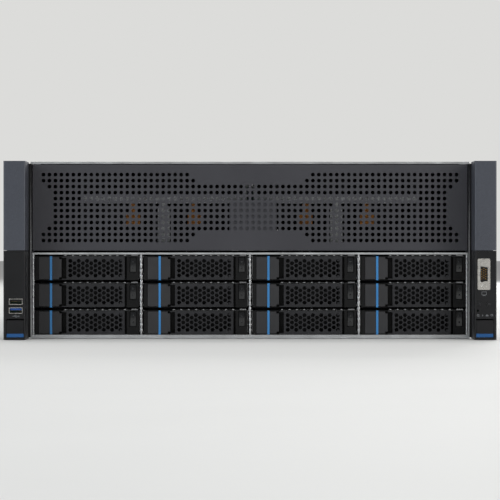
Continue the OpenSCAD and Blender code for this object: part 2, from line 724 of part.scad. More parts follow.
module top_cover() color("gainsboro") {
    y0 = lid_y;
    y1 = rear_y;
    difference() {
        block([-body_half, y0, lid_z], [body_half, y1, body_h]);
        block([-pan[0] / 2, pan_yc - pan[1] / 2, lid_z - 1], [pan[0] / 2, pan_yc + pan[1] / 2, body_h + 1]);
        // pressed grooves that stiffen the sheet
        for (side = [-1, 1]) for (y = [y0 + 90, (pan_yc + y1) / 2])
            translate([side * body_half * 0.55, y, body_h - 0.5]) linear_extrude(1) rounded(body_half * 0.5, 12, 5.9);
        // thumb dimples near the rear edge
        for (side = [-1, 1]) translate([side * body_half * 0.7, y1 - 40, body_h]) bar_z(13, 1);
    }
    // recessed pan for the latch
    difference() {
        block([-pan[0] / 2 - sheet, pan_yc - pan[1] / 2 - sheet, body_h - pan[2]],
              [pan[0] / 2 + sheet, pan_yc + pan[1] / 2 + sheet, body_h - 0.3]);
        block([-pan[0] / 2, pan_yc - pan[1] / 2, body_h - pan[2] + sheet], [pan[0] / 2, pan_yc + pan[1] / 2, body_h + 1]);
    }
    for (side = [-1, 1]) {
        translate([side * (grip[0] / 2 + 3), latch_hinge_y, 0]) {
            block([-2, -2.5, body_h - pan[2] + sheet / 2], [2, 2.5, latch_hinge_z]);
            translate([0, 0, latch_hinge_z]) bar_x(2.5, 4);
        }
        // hooks that reach down inside the sides
        for (t = [0.12, 0.5, 0.88]) slab_x(side * (body_half - lid_flange - 1.4) - 0.5, 1)
            polygon([[y0 + t * (y1 - y0), lid_z + 0.1], [y0 + t * (y1 - y0) + 24, lid_z + 0.1],
                     [y0 + t * (y1 - y0) + 20, lid_z - 8], [y0 + t * (y1 - y0) + 4, lid_z - 8]]);
    }
    translate([0, latch_hinge_y, latch_hinge_z]) bar_x(pin_r, grip[0] + 6);
}

// Latch of the lid: a grip with a finger cut-out, hinged on a long pin
module cover_latch() color("#20538c") {
    z1 = body_h - 0.4;
    difference() {
        union() {
            translate([0, pan_yc, z1 - grip[2]]) linear_extrude(grip[2]) difference() {
                rounded(grip[0], grip[1], 4);
                translate([0, -grip[1] / 2]) rounded(40, 20, 8);
            }
            translate([0, latch_hinge_y, latch_hinge_z]) bar_x(2.8, grip[0] - 8);
            for (x = [-1, 1]) block([x * 40 - 1, pan_yc - grip[1] / 2 + 4, z1 - 6], [x * 40 + 1, latch_hinge_y, z1 - 1]);
        }
        translate([0, latch_hinge_y, latch_hinge_z]) bar_x(pin_r + fit, grip[0] + 2);
    }
}

// ---------------------------------------------------------------- fans

fan_y = front_y + 38;
fan_zc = (deck_top + lid_z) / 2;
function tray_x(k) = (k - (trays - 1) / 2) * tray_pitch;
function fan_x(i) = tray_x(floor(i / 2)) + (i % 2 == 0 ? -1 : 1) * fan_step / 2;
duct_r = fan_side / 2 - 1.5;
hub_r = fan_side * 0.21;
shaft_r = 2;
motor_d = 7;

// Square fan housing with its duct, motor plate and four struts
module fan_housing(i) {
    translate([fan_x(i), 0, fan_zc]) difference() {
        union() {
            slab_y(fan_y, fan_depth) difference() {
                rounded(fan_side, fan_side, 4);
                circle(duct_r);
            }
            slab_y(fan_y + fan_depth - motor_d, motor_d) {
                circle(hub_r);
                for (a = [0, 90, 180, 270]) rotate(a + 45) translate([0, -2]) square([duct_r + 1, 4]);
            }
        }
        slab_y(fan_y - 1, fan_depth + 2) {
            circle(shaft_r + fit);
            for (x = [-1, 1]) for (z = [-1, 1]) translate([x, z] * (fan_side / 2 - 4.25)) circle(2.2);
        }
    }
}

// Rotor: cup, shaft and pitched blades
module fan_rotor(i) color("#141416") {
    l = fan_depth - motor_d - 4;
    translate([fan_x(i), fan_y + 3, fan_zc]) rotate([-90, 0, 0]) {
        difference() {
            cylinder(r = hub_r, h = l);
            translate([0, 0, 3]) cylinder(r = hub_r - 2, h = l);
        }
        cylinder(r = shaft_r, h = l + 1 + motor_d);
        intersection() {
            difference() {
                cylinder(r = duct_r - 0.8, h = l);
                translate([0, 0, -1]) cylinder(r = hub_r - 1, h = l + 2);
            }
            for (k = [0:blades - 1]) rotate(360 / blades * k) translate([0, 0, l / 2])
                rotate([38, 0, 0]) translate([hub_r - 2, -1, -l]) cube([duct_r, 2, 2 * l]);
        }
    }
}

// Tray for two fans: a base on the deck, an upright with its pull handle, and a latch over each fan
module fan_tray(k) {
    x = tray_x(k);
    half = (fan_step + fan_side) / 2;
    z0 = fan_zc - fan_side / 2;
    color("silver") {
        block([x - half - 1.5, fan_y - 8, deck_top], [x + half + 1.5, fan_y + fan_depth + 6, deck_top + sheet]);
        for (side = [-1, 1]) block([x + side * (half + 0.9) - 0.6, fan_y - 8, deck_top],
                                   [x + side * (half + 0.9) + 0.6, fan_y + fan_depth + 6, z0 + fan_side]);
        slab_y(fan_y - 8, sheet) {
            rect([x - 6, deck_top + sheet], [x + 6, fan_zc + 1]);
            rect([x - half - 0.3, fan_zc + 5], [x + half + 0.3, fan_zc + 12]);
            rect([x - 2, fan_zc], [x + 2, fan_zc + 6]);
        }
        for (side = [-1, 1]) block([x + side * fan_step / 2 - 20, fan_y, deck_top + sheet],
                                   [x + side * fan_step / 2 + 20, fan_y + fan_depth, z0 - seam]);
    }
    // touch points that free the tray, hung from the cross bar
    color("darkorange") for (side = [-1, 1]) translate([x + side * 31, 0]) {
        slab_y(fan_y - 7, 5) rounded_at([-7, fan_zc - 18], [7, fan_zc - 5], 1.5);
        slab_y(fan_y - 6.5, 2) rect([-3, fan_zc - 6], [3, fan_zc + 5 - seam]);
    }
}

module fan_trays() {
    for (k = [0:trays - 1]) fan_tray(k);
    color("#18181a") for (i = [0:2 * trays - 1]) fan_housing(i);
}

// ---------------------------------------------------------------- graphics cards

// Vented bracket that closes a slot of width w
module slot_bracket(x, w) {
    slab_y(rear_y - sheet - bracket_t, bracket_t) translate([x, slot_z]) difference() {
        rect([1 - w / 2, 0], [w / 2 - 1, slot_h]);
        for (k = [0:floor((w - 6) / 6) - 1]) for (half = [0, 1])
            translate([(k - (floor((w - 6) / 6) - 1) / 2) * 6, slot_h * (0.28 + 0.36 * half)]) rounded(3.6, slot_h * 0.3, 1.7);
    }
}

// Double-width card: shroud with a finned air inlet, and the edge that stands in its socket
module graphics_card(i) {
    x = card_x(i);
    y1 = rear_y - sheet - bracket_t;
    difference() {
        slab_y(card_y, card_l - seam) translate([x, card_z + card_h / 2]) rounded(card_t, card_h, 2.5);
        for (k = [0:7]) translate([x - 2.5 + (k - 3.5) * 3.8, card_y - 1, card_z + 8]) cube([2, 19, card_h - 16]);
        // shallow panel on the outer face
        slab_x(x - card_t / 2 - 1, 1.5) translate([(card_y + y1) / 2, card_z + card_h / 2]) rounded(card_l - 40, card_h - 30, 8);
    }
    block([x + card_t / 2 - 4, y1 - 150, card_z - 7], [x + card_t / 2 - 2.4, y1 - 66, card_z + 3]);
}

module gpu_cards() {
    color("#6f7276") for (i = [0:2 * cards_side - 1]) graphics_card(i);
    color("silver") {
        for (i = [0:2 * cards_side - 1]) slot_bracket(card_x(i), 2 * slot_w);
        for (i = [0:1:spare_slots - 1]) slot_bracket(spare_x(i), slot_w);
    }
}

// ---------------------------------------------------------------- boards

main_z = 7;
main_top = main_z + board_t;
main_y0 = backplane_y + 30;
main_y1 = psu_y - 14;
main_half = inner_half - 6;
strip_half = bay_inner - bay_wall - 2;
cooler_l = 104;
cooler_y = min((main_y0 + main_y1) / 2, shelf_y - cooler_l / 2 - 4);
memory_w = 6.4;
memory_pitch = 9;
memory_x = 50;
memory_side = min(4, floor(((main_half - 3) / 2 - memory_x - memory_w / 2) / memory_pitch) + 1);
cooler_x = max(main_half * 0.42, memory_x + (memory_side - 1) * memory_pitch + memory_w / 2 + 1.5);

// Finned cooler on a processor
module cooler(x, y) {
    translate([x, 0, main_top]) {
        slab_y(y - cooler_l / 2, cooler_l) {
            rect([-39, 3], [39, 9]);
            for (k = [0:18]) translate([-39 + 4.27 * k, 3]) square([1.1, 60]);
        }
        block([-28, y - 30, seam], [28, y + 30, 3.5]);
    }
}

// Memory module standing in its socket
module memory(x, y) {
    translate([x, 0, main_top]) slab_y(y - 66.5, 133) polygon([
        [-memory_w / 2, seam], [memory_w / 2, seam], [memory_w / 2, 6], [1.7, 6.5], [1.7, 31], [-1.7, 31], [-1.7, 6.5],
        [-memory_w / 2, 6]]);
}

// Card socket on the card board, with the slit for the card's edge
module card_socket(i) {
    xs = card_x(i) + card_t / 2 - 3.2;
    y1 = rear_y - sheet - bracket_t;
    difference() {
        block([xs - 3.7, y1 - 156, card_board_z + board_t + seam], [xs + 3.7, y1 - 60, card_board_z + board_t + socket_h]);
        block([xs - 1, y1 - 150.3, card_board_z + board_t + 2], [xs + 1, y1 - 65.7, card_z + 1]);
    }
}

module system_board() {
    color("darkgreen") {
        translate([0, 0, main_z]) linear_extrude(board_t) difference() {
            polygon([[-main_half, main_y0], [main_half, main_y0], [main_half, main_y1], [strip_half, main_y1],
                     [strip_half, rear_y - sheet - 2], [-strip_half, rear_y - sheet - 2], [-strip_half, main_y1],
                     [-main_half, main_y1]]);
            for (x = [-1, 1]) for (y = [main_y0 + 8, main_y1 - 8]) translate([x * (main_half - 8), y]) circle(2);
        }
        block([10 - inner_half, card_y + 6, card_board_z], [inner_half - 10, rear_y - sheet - 12, card_board_z + board_t]);
    }
    color("silver") {
        for (x = [-1, 1]) cooler(x * cooler_x, cooler_y);
        for (x = [-0.9, -0.3, 0.3, 0.9]) for (y = [main_y0 + 20, main_y1 - 20])
            translate([x * main_half, y, (sheet + main_z) / 2]) bar_z(3, main_z - sheet - 2 * seam);
        for (x = [-0.9, -0.3, 0.3, 0.9]) for (y = [card_y + 20, rear_y - 40])
            translate([x * inner_half, y, card_board_z - 1]) bar_z(3, 2 - 2 * seam);
        for (p = io_ports) slab_y(rear_y - sheet - 18, 18 + sheet) translate([p[0], p[1] + p[3] / 2]) difference() {
            square([p[2], p[3]], center = true);
            square([p[2] - 1.6, p[3] - 1.6], center = true);
        }
    }
    color("#26262a") {
        for (p = io_ports) block([p[0] - p[2] / 2, rear_y - sheet - 19, p[1] > io_z ? p[1] - 0.5 : main_top + seam],
                                    [p[0] + p[2] / 2, rear_y - sheet - 18 - seam, p[1] + p[3]]);
        for (side = [-1, 1]) for (k = [0:memory_side - 1]) for (far = [-1, 1])
            memory(side * cooler_x + far * (memory_x + memory_pitch * k), cooler_y);
        for (i = [0:2 * cards_side - 1]) card_socket(i);
    }
}

// ---------------------------------------------------------------- power supplies

// Drawn about the middle of the supply's rear face
module psu(i) translate([psu_x(i), rear_y, psu_z + psu_h / 2]) {
    ix = -psu_w / 2 + 18;
    fx = psu_w / 2 - 18.5;
    color("silver") difference() {
        slab_y(-psu_d, psu_d) rounded(psu_w, psu_h, 1);
        // inlet
        slab_y(-15, 16) translate([ix, -4]) polygon([
            [-13, -9], [13, -9], [13, 5], [9, 9], [-9, 9], [-13, 5]]);
        // rings of the fan's grille and the duct behind them
        rotate([-90, 0, 0]) translate([fx, 0, -9]) {
            for (r = [5, 9, 13]) difference() {
                cylinder(r = r + 2.8, h = 10);
                translate([0, 0, -1]) cylinder(r = r, h = 12);
            }
        }
    }
    color("#26262a") for (p = [[-6, -7], [0, -2], [6, -7]]) translate([ix + p[0], 0, p[1]]) block([-1, seam - 15, -2.5], [1, -5.5, 2.5]);
    // pull handle: two arms with a grip between them
    color("#18181a") translate([ix + 17, 0, 0]) {
        for (z = [-1, 1]) slab_x(-3, 6) translate([0, z * (psu_h / 2 - 4.5)]) {
            rect([seam, -2.5], [psu_handle - 2.5, 2.5]);
            rect([seam, z < 0 ? 0 : -2.5], [psu_handle, z < 0 ? 2.5 : 0]);
            translate([psu_handle - 2.5, 0]) circle(2.5);
        }
        translate([0, 0, 7 + seam - psu_h / 2]) linear_extrude(psu_h - 14 - 2 * seam)
            rounded_at([-3, psu_handle - 6], [3, psu_handle], 2);
    }
    color("#3d8f5a") translate([ix, 0, psu_h / 2 - 4]) block([-9, seam, -2], [9, 12, 1.5]);
}

// ---------------------------------------------------------------- pieces

chassis_tub();
drive_cage();
drive_backplane();
gpu_front_panel();
left_ear();
right_ear();
left_ear_latch();
right_ear_latch();
front_ports();
power_button();
id_button();
top_cover();
cover_latch();
fan_trays();
gpu_cards();
system_board();
for (i = [0:2 * psu_side - 1]) psu(i);
for (i = [0:2 * trays - 1]) fan_rotor(i);
for (row = [0:rows - 1]) for (col = [0:cols - 1]) {
    drive_carrier(row, col);
    carrier_lever(row, col);
    release_button(row, col);
}
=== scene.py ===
"""Finish of a four-unit rack server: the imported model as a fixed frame, a material for every piece of it,
the small fittings that are too fine for the solid model, and a plain studio.
Metres. X to the right, Y to the rear, Z up. The case stands on Z = 0."""

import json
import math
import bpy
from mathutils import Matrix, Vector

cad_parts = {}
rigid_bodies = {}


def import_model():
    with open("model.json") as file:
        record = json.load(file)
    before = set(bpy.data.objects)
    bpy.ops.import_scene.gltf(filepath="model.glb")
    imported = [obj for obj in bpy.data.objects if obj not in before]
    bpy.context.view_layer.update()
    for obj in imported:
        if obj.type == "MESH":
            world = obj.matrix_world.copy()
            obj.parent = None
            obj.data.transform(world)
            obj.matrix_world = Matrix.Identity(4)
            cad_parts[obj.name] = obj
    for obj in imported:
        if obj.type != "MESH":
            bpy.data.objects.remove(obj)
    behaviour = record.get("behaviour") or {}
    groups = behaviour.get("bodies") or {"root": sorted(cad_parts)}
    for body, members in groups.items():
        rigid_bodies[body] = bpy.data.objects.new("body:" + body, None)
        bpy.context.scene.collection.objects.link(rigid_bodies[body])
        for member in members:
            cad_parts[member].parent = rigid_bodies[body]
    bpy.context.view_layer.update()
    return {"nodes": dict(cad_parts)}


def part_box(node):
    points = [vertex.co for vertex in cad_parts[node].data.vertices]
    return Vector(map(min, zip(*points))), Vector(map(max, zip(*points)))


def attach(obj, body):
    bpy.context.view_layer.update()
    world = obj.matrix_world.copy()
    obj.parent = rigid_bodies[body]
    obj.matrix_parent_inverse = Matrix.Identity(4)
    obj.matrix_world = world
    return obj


bl_info = {
    "name": "Rack server finish",
    "version": (1, 0, 0),
    "blender": (4, 5, 0),
    "location": "3D View > Sidebar > Server",
    "description": "Materials, fittings and a studio for a four-unit rack server",
    "category": "Object",
}

import bmesh
import bpy
import numpy as np
from bpy.props import FloatProperty, FloatVectorProperty, PointerProperty
from mathutils import Vector

for leftover in list(bpy.data.objects):
    bpy.data.objects.remove(leftover)
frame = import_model()
MM = 0.001


# ---------------------------------------------------------------- places on the server, in millimetres


def corners(node):
    """Lowest and highest corner of a node of the frame, in millimetres."""
    return [np.array(corner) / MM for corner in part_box(node)]


CASE_LOW, CASE_HIGH = corners("chassis_tub")
PANEL_LOW, PANEL_HIGH = corners("gpu_front_panel")
CARD_LOW = corners("gpu_cards")[0]
BACKPLANE_REAR = corners("drive_backplane")[1][1]
ROWS, COLUMNS = (1, 2, 3), (1, 2, 3, 4)
BAYS = [f"r{row}_c{column}" for row in ROWS for column in COLUMNS]
SUPPLIES = [f"psu_{i}" for i in (1, 2, 3, 4)]
ROTORS = [f"fan_rotor_{i}" for i in (1, 2, 3, 4)]
CAGE_LOW, CAGE_HIGH = corners("drive_cage")
FRONT_Y, REAR_Y, NOSE_Y = CASE_LOW[1], CASE_HIGH[1], corners("right_ear")[0][1]
SIDE_X = corners("top_cover")[1][0]
FASCIA_TOP = PANEL_LOW[2]
SHEET = 1.2
SLOT = 20.32
HEAD_HEIGHT = 23.9


def bay(name):
    """Middle of a drive carrier's front, which its own sizes are counted from."""
    low, high = corners(f"drive_carrier_{name}")
    return np.array([(low[0] + high[0]) / 2, low[1], low[2] + HEAD_HEIGHT / 2])


# ---------------------------------------------------------------- colours and nodes


def linear(code):
    """An sRGB hex colour as the linear numbers that shaders take."""
    value = np.array([int(code[i : i + 2], 16) for i in (1, 3, 5)]) / 255
    return tuple(np.where(value <= 0.04045, value / 12.92, ((value + 0.055) / 1.055) ** 2.4))


def add(tree, kind, inputs=None, **settings):
    """Adds a node, sets its properties, and gives each named or numbered socket a value or a link."""
    node = tree.nodes.new(kind)
    for name, value in settings.items():
        setattr(node, name, value)
    for name, value in (inputs or {}).items():
        socket = node.inputs[name]
        if isinstance(value, bpy.types.NodeSocket):
            tree.links.new(value, socket)
        elif socket.type == "RGBA":
            socket.default_value = (*value[:3], 1.0)
        else:
            socket.default_value = value
    return node


def ramp(tree, factor, stops):
    """A colour ramp through stops of (place, grey or colour)."""
    node = add(tree, "ShaderNodeValToRGB", {"Fac": factor})
    points = node.color_ramp.elements
    while len(points) < len(stops):
        points.new(1.0)
    for point, (place, value) in zip(points, stops):
        point.position = place
        point.color = (value, value, value, 1.0) if np.isscalar(value) else (*value, 1.0)
    return node.outputs["Color"]


def blank_material(name):
    """A new material and its tree, with an output and one Principled shader joined to it."""
    made = bpy.data.materials.new(name)
    made.use_nodes = True
    tree = made.node_tree
    tree.nodes.clear()
    shader = add(tree, "ShaderNodeBsdfPrincipled")
    add(tree, "ShaderNodeOutputMaterial", {"Surface": shader.outputs["BSDF"]})
    return made, tree, shader


def noise(tree, place, size_mm, detail=3.0, roughness=0.55):
    """Noise whose grain is about size_mm across."""
    inputs = {"Vector": place, "Scale": 1 / (size_mm * MM), "Detail": detail, "Roughness": roughness}
    return add(tree, "ShaderNodeTexNoise", inputs).outputs["Fac"]


def surface(name, colour, *, metallic=0.0, roughness=0.5, spread=0.08, specular=0.5, coat=0.0, coat_roughness=0.2,
            grain=(1.0, 0.02), mottle=(30.0, 0.06), streak=None, edge=(0.25, 0.35), dust=0.0):
    """A solid finish.

    grain is (size, height) of the surface texture in mm, mottle is (size, amount) of the slow colour variation,
    streak is (stretch x, y, z, strength) of rolling or brushing marks, edge is (radius in mm, amount of lightening)
    of the rounded edges, whose lightening is partly wear and partly a painted highlight, and spread is how far the
    roughness wanders."""
    made, tree, shader = blank_material(name)
    place = add(tree, "ShaderNodeTexCoord").outputs["Object"]
    slow = noise(tree, place, mottle[0], 4.0)
    fine = noise(tree, place, grain[0], 2.0, 0.6)
    base = add(tree, "ShaderNodeMix", {0: ramp(tree, slow, [(0.3, 0.0), (0.7, 1.0)]),
                                       6: [c * (1 - mottle[1]) for c in colour],
                                       7: [min(1, c * (1 + mottle[1])) for c in colour]}, data_type="RGBA").outputs[2]
    height = fine
    if streak:
        lines = add(tree, "ShaderNodeTexNoise", {
            "Vector": add(tree, "ShaderNodeMapping", {"Vector": place, "Scale": streak[:3]}).outputs[0],
            "Scale": 1 / (0.9 * MM), "Detail": 2.0}).outputs["Fac"]
        height = add(tree, "ShaderNodeMath", {0: fine, 1: lines}, operation="ADD").outputs[0]
        base = add(tree, "ShaderNodeMix", {0: ramp(tree, lines, [(0.35, 0.0), (0.65, streak[3])]), 6: base,
                                           7: [c * 0.72 for c in colour]}, data_type="RGBA").outputs[2]
    rounded = add(tree, "ShaderNodeBevel", {"Radius": edge[0] * MM}, samples=4)
    bump = add(tree, "ShaderNodeBump", {"Height": height, "Distance": grain[1] * MM, "Strength": 1.0,
                                        "Normal": rounded.outputs[0]})
    # Painted highlight, partly wear: the colour is lightened where the rounded normal turns away from the flat one,
    # along every edge alike.
    if edge[1]:
        flat = add(tree, "ShaderNodeNewGeometry").outputs["Normal"]
        facing = add(tree, "ShaderNodeVectorMath", {0: rounded.outputs[0], 1: flat},
                     operation="DOT_PRODUCT").outputs["Value"]
        wear_and_highlight = ramp(tree, facing, [(0.80, edge[1]), (0.985, 0.0)])
        base = add(tree, "ShaderNodeMix", {0: wear_and_highlight, 6: base, 7: [min(1, c * 1.9 + 0.02) for c in colour]},
                   data_type="RGBA").outputs[2]
    tree.links.new(base, shader.inputs["Base Color"])
    rough = add(tree, "ShaderNodeMapRange", {0: slow, 1: 0.3, 2: 0.7, 3: roughness - spread, 4: roughness + spread})
    tree.links.new(rough.outputs[0], shader.inputs["Roughness"])
    tree.links.new(bump.outputs[0], shader.inputs["Normal"])
    shader.inputs["Metallic"].default_value = metallic
    shader.inputs["Specular IOR Level"].default_value = specular
    shader.inputs["Coat Weight"].default_value = coat
    shader.inputs["Coat Roughness"].default_value = coat_roughness
    made.diffuse_color = (*colour, 1.0)
    return made


def circuit_material(name, colour, copper):
    """Solder mask on a circuit board: the mask is darker over bare laminate and lighter over the copper tracks,
    which run straight in patches, with small round vias between them."""
    made, tree, shader = blank_material(name)
    place = add(tree, "ShaderNodeTexCoord").outputs["Object"]
    patch = add(tree, "ShaderNodeTexVoronoi", {"Vector": place, "Scale": 1 / (14 * MM)},
                distance="CHEBYCHEV").outputs["Color"]
    pick = ramp(tree, patch, [(0.48, 0.0), (0.52, 1.0)])
    bands = [add(tree, "ShaderNodeTexWave", {"Vector": place, "Scale": 1 / (2.4 * MM) / 3.3, "Distortion": 0.0},
                 bands_direction=way).outputs["Fac"] for way in ("X", "Y", "Z")]
    flat = add(tree, "ShaderNodeMath", {0: bands[1], 1: bands[2]}, operation="MINIMUM").outputs[0]
    tracks = add(tree, "ShaderNodeMix", {0: pick, 2: bands[0], 3: flat}).outputs[0]
    dots = add(tree, "ShaderNodeTexVoronoi", {"Vector": place, "Scale": 1 / (4.5 * MM)}).outputs["Distance"]
    mask = add(tree, "ShaderNodeMix", {0: ramp(tree, tracks, [(0.52, 0.0), (0.6, 1.0)]),
                                       6: [c * 0.62 for c in colour], 7: colour}, data_type="RGBA").outputs[2]
    face = add(tree, "ShaderNodeMix", {0: ramp(tree, dots, [(0.08, 1.0), (0.12, 0.0)]), 6: mask, 7: copper},
               data_type="RGBA")
    tree.links.new(face.outputs[2], shader.inputs["Base Color"])
    bump = add(tree, "ShaderNodeBump", {"Height": tracks, "Distance": 0.03 * MM, "Strength": 1.0})
    tree.links.new(bump.outputs[0], shader.inputs["Normal"])
    rough = ramp(tree, noise(tree, place, 6.0), [(0.3, 0.28), (0.7, 0.42)])
    tree.links.new(rough, shader.inputs["Roughness"])
    made.diffuse_color = (*colour, 1.0)
    return made


# Each solid finish: the real material and how its surface was made, its colour as hex or as one of the scene's
# settings, and the numbers for surface().
SOLID_FINISHES = {
    # hot-dip coated sheet: bright, with soft rolling marks and a cloudy bloom
    "zinc": ("zinc_coated_steel_sheet", "zinc", dict(metallic=1.0, roughness=0.36, spread=0.09,
        grain=(1.4, 0.012), mottle=(22.0, 0.09), streak=(0.04, 1.0, 1.0, 0.35), edge=(0.3, 0.5))),
    # baked polyester powder: an even, dull, slightly pebbled skin
    "panel": ("powder_coated_steel", "panel", dict(roughness=0.5, spread=0.05, specular=0.45,
        grain=(0.9, 0.035), mottle=(60.0, 0.05), edge=(0.25, 0.5))),
    # moulded ABS from a spark-eroded tool: black, satin, finely pitted
    "black_abs": ("spark_eroded_black_abs", "black_plastic", dict(roughness=0.46, specular=0.32,
        grain=(0.7, 0.03), mottle=(25.0, 0.1), edge=(0.35, 0.5))),
    # glass-filled nylon: a harder, duller black for the carrier's head
    "head": ("moulded_black_nylon", "head", dict(roughness=0.5, specular=0.25,
        grain=(0.6, 0.02), mottle=(18.0, 0.12), edge=(0.25, 0.4))),
    "lever": ("moulded_grey_nylon", "lever", dict(roughness=0.44, specular=0.4,
        grain=(0.6, 0.02), mottle=(18.0, 0.1), edge=(0.3, 0.65))),
    "button": ("moulded_warm_grey_abs", "button", dict(roughness=0.5, specular=0.4,
        grain=(0.6, 0.025), mottle=(18.0, 0.07), edge=(0.3, 0.5))),
    # acetal coloured through: waxy, even, saturated
    "blue": ("moulded_blue_acetal", "blue", dict(roughness=0.38, specular=0.5,
        grain=(0.8, 0.01), mottle=(15.0, 0.05), edge=(0.25, 0.25))),
    # a darker blue for the flaps' lips: partly the moulding's own colour and partly painted shade on the lip, which
    # sits in shadow at the foot of each flap
    "deep_blue": ("moulded_dark_blue_acetal", "deep_blue", dict(roughness=0.4, specular=0.4,
        grain=(0.8, 0.01), mottle=(15.0, 0.05), edge=(0.3, 0.25))),
    "orange": ("moulded_orange_acetal", "orange", dict(roughness=0.4,
        grain=(0.8, 0.01), mottle=(15.0, 0.05), edge=(0.3, 0.25))),
    "green": ("moulded_green_nylon", "green", dict(roughness=0.42,
        grain=(0.8, 0.015), mottle=(15.0, 0.06), edge=(0.3, 0.3))),
    # glass-filled PBT, grey-black, with the fibre just showing
    "fan": ("glass_filled_black_pbt", "fan", dict(roughness=0.55, specular=0.3,
        grain=(0.5, 0.03), mottle=(10.0, 0.15), edge=(0.35, 0.35))),
    # hard-rolled spring strip: bright, with lengthwise draw lines
    "spring": ("stainless_spring_strip", "#cfd0d2", dict(metallic=1.0, roughness=0.3, spread=0.05,
        grain=(1.0, 0.004), mottle=(8.0, 0.06), streak=(0.05, 1.0, 1.0, 0.25), edge=(0.1, 0.3))),
    # bright nickel over pressed steel, for connector shells
    "nickel": ("nickel_plated_steel", "#dfdcd6", dict(metallic=1.0, roughness=0.27, spread=0.06,
        grain=(0.9, 0.006), mottle=(5.0, 0.06), edge=(0.2, 0.3))),
    "gold": ("gold_plated_contact", "#d9ab52", dict(metallic=1.0, roughness=0.25, spread=0.04,
        grain=(0.5, 0.004), mottle=(3.0, 0.05), edge=(0.05, 0.0))),
    # die-cast aluminium under a thin black electrocoat, faintly granular; its black is partly that coat and partly
    # painted shade deep behind the carriers' heads, and its corners are lightened, partly as wear and partly as a
    # painted highlight
    "casting": ("electrocoated_die_casting", "#1a1a1c", dict(roughness=0.42, specular=0.35,
        grain=(0.8, 0.03), mottle=(14.0, 0.15), edge=(0.35, 0.7))),
    # the same coat on sheet steel, for the ears' brackets, and laid on the front edges of the case's side walls as
    # painted shade
    "black_steel": ("electrocoated_steel_sheet", "#131315", dict(roughness=0.45, specular=0.3,
        grain=(1.0, 0.015), mottle=(30.0, 0.12), edge=(0.2, 0.4))),
    # closed-cell foam with a dull open skin
    "foam": ("black_foam_gasket", "#0c0c0d", dict(roughness=0.9, specular=0.1,
        grain=(0.5, 0.12), mottle=(4.0, 0.25), edge=(0.3, 0.0))),
    "drive_lid": ("brushed_stainless_cover", "#b9bbbd", dict(metallic=1.0, roughness=0.3, spread=0.06,
        grain=(0.8, 0.004), mottle=(20.0, 0.05), streak=(1.0, 0.03, 1.0, 0.3), edge=(0.3, 0.3))),
    "fins": ("extruded_aluminium", "#c4c6c8", dict(metallic=1.0, roughness=0.35, spread=0.06,
        grain=(0.7, 0.006), mottle=(12.0, 0.05), streak=(1.0, 0.03, 1.0, 0.3), edge=(0.1, 0.2))),
    # bead-blasted and dark anodised shroud
    "shroud": ("dark_anodised_aluminium", "#4d5054", dict(metallic=1.0, roughness=0.48, spread=0.05,
        grain=(0.5, 0.02), mottle=(25.0, 0.06), edge=(0.4, 0.6))),
    "supply": ("nickel_plated_steel_sheet", "#c9cacb", dict(metallic=1.0, roughness=0.33, spread=0.07,
        grain=(1.2, 0.008), mottle=(18.0, 0.06), streak=(1.0, 0.04, 1.0, 0.2), edge=(0.3, 0.4))),
    "steel_shaft": ("ground_steel", "#b4b6b8", dict(metallic=1.0, roughness=0.22, spread=0.04,
        grain=(0.6, 0.003), mottle=(6.0, 0.04), edge=(0.1, 0.2))),
    # zinc screws, a little darker in the recess
    "screw": ("zinc_plated_screw", "#a9abad", dict(metallic=1.0, roughness=0.3, spread=0.06,
        grain=(0.5, 0.006), mottle=(4.0, 0.1), edge=(0.15, 0.3))),
    "black_screw": ("black_oxide_screw", "#2c2c2e", dict(metallic=1.0, roughness=0.38, spread=0.06,
        grain=(0.5, 0.006), mottle=(4.0, 0.1), edge=(0.15, 0.5))),
    "insulator": ("moulded_black_lcp", "#141416", dict(roughness=0.42, specular=0.35,
        grain=(0.5, 0.015), mottle=(5.0, 0.1), edge=(0.1, 0.3))),
    "blue_insulator": ("moulded_blue_lcp", "#1c4f9c", dict(roughness=0.4, specular=0.4,
        grain=(0.5, 0.015), mottle=(5.0, 0.08), edge=(0.1, 0.2))),
    # one pass of grey screen-printing ink, slightly raised and chalky
    "dark_ink": ("dark_grey_screen_printing_ink", "#3c3d40", dict(roughness=0.6, specular=0.3,
        grain=(0.3, 0.01), mottle=(2.0, 0.15), edge=(0.02, 0.0))),
    "ink": ("grey_screen_printing_ink", "ink", dict(roughness=0.6, specular=0.3,
        grain=(0.3, 0.01), mottle=(2.0, 0.15), edge=(0.02, 0.0))),
}
# Finishes with a pattern of their own: flaked lacquer, circuit boards, and smoked polycarbonate
PATTERNED_FINISHES = {
    "ear_paint": lambda: flake_material("metallic_lacquered_steel", setting_colour("ear_paint")),
    "board": lambda: circuit_material("green_solder_mask", linear("#1d5c3c"), linear("#c9a24a")),
    "drive_board": lambda: circuit_material("dark_green_solder_mask", linear("#16422f"), linear("#b8913f")),
    "lens": lambda: lens_material("smoked_polycarbonate_lens"),
}
FINISHES = {}


def setting_colour(name):
    """A colour of the scene's settings."""
    return tuple(getattr(bpy.context.scene.server_colours, name))


def finish(key):
    """The material for a finish, made once."""
    if key not in FINISHES:
        if key in PATTERNED_FINISHES:
            FINISHES[key] = PATTERNED_FINISHES[key]()
        else:
            name, colour, numbers = SOLID_FINISHES[key]
            FINISHES[key] = surface(name, linear(colour) if colour[0] == "#" else setting_colour(colour), **numbers)
    return FINISHES[key]


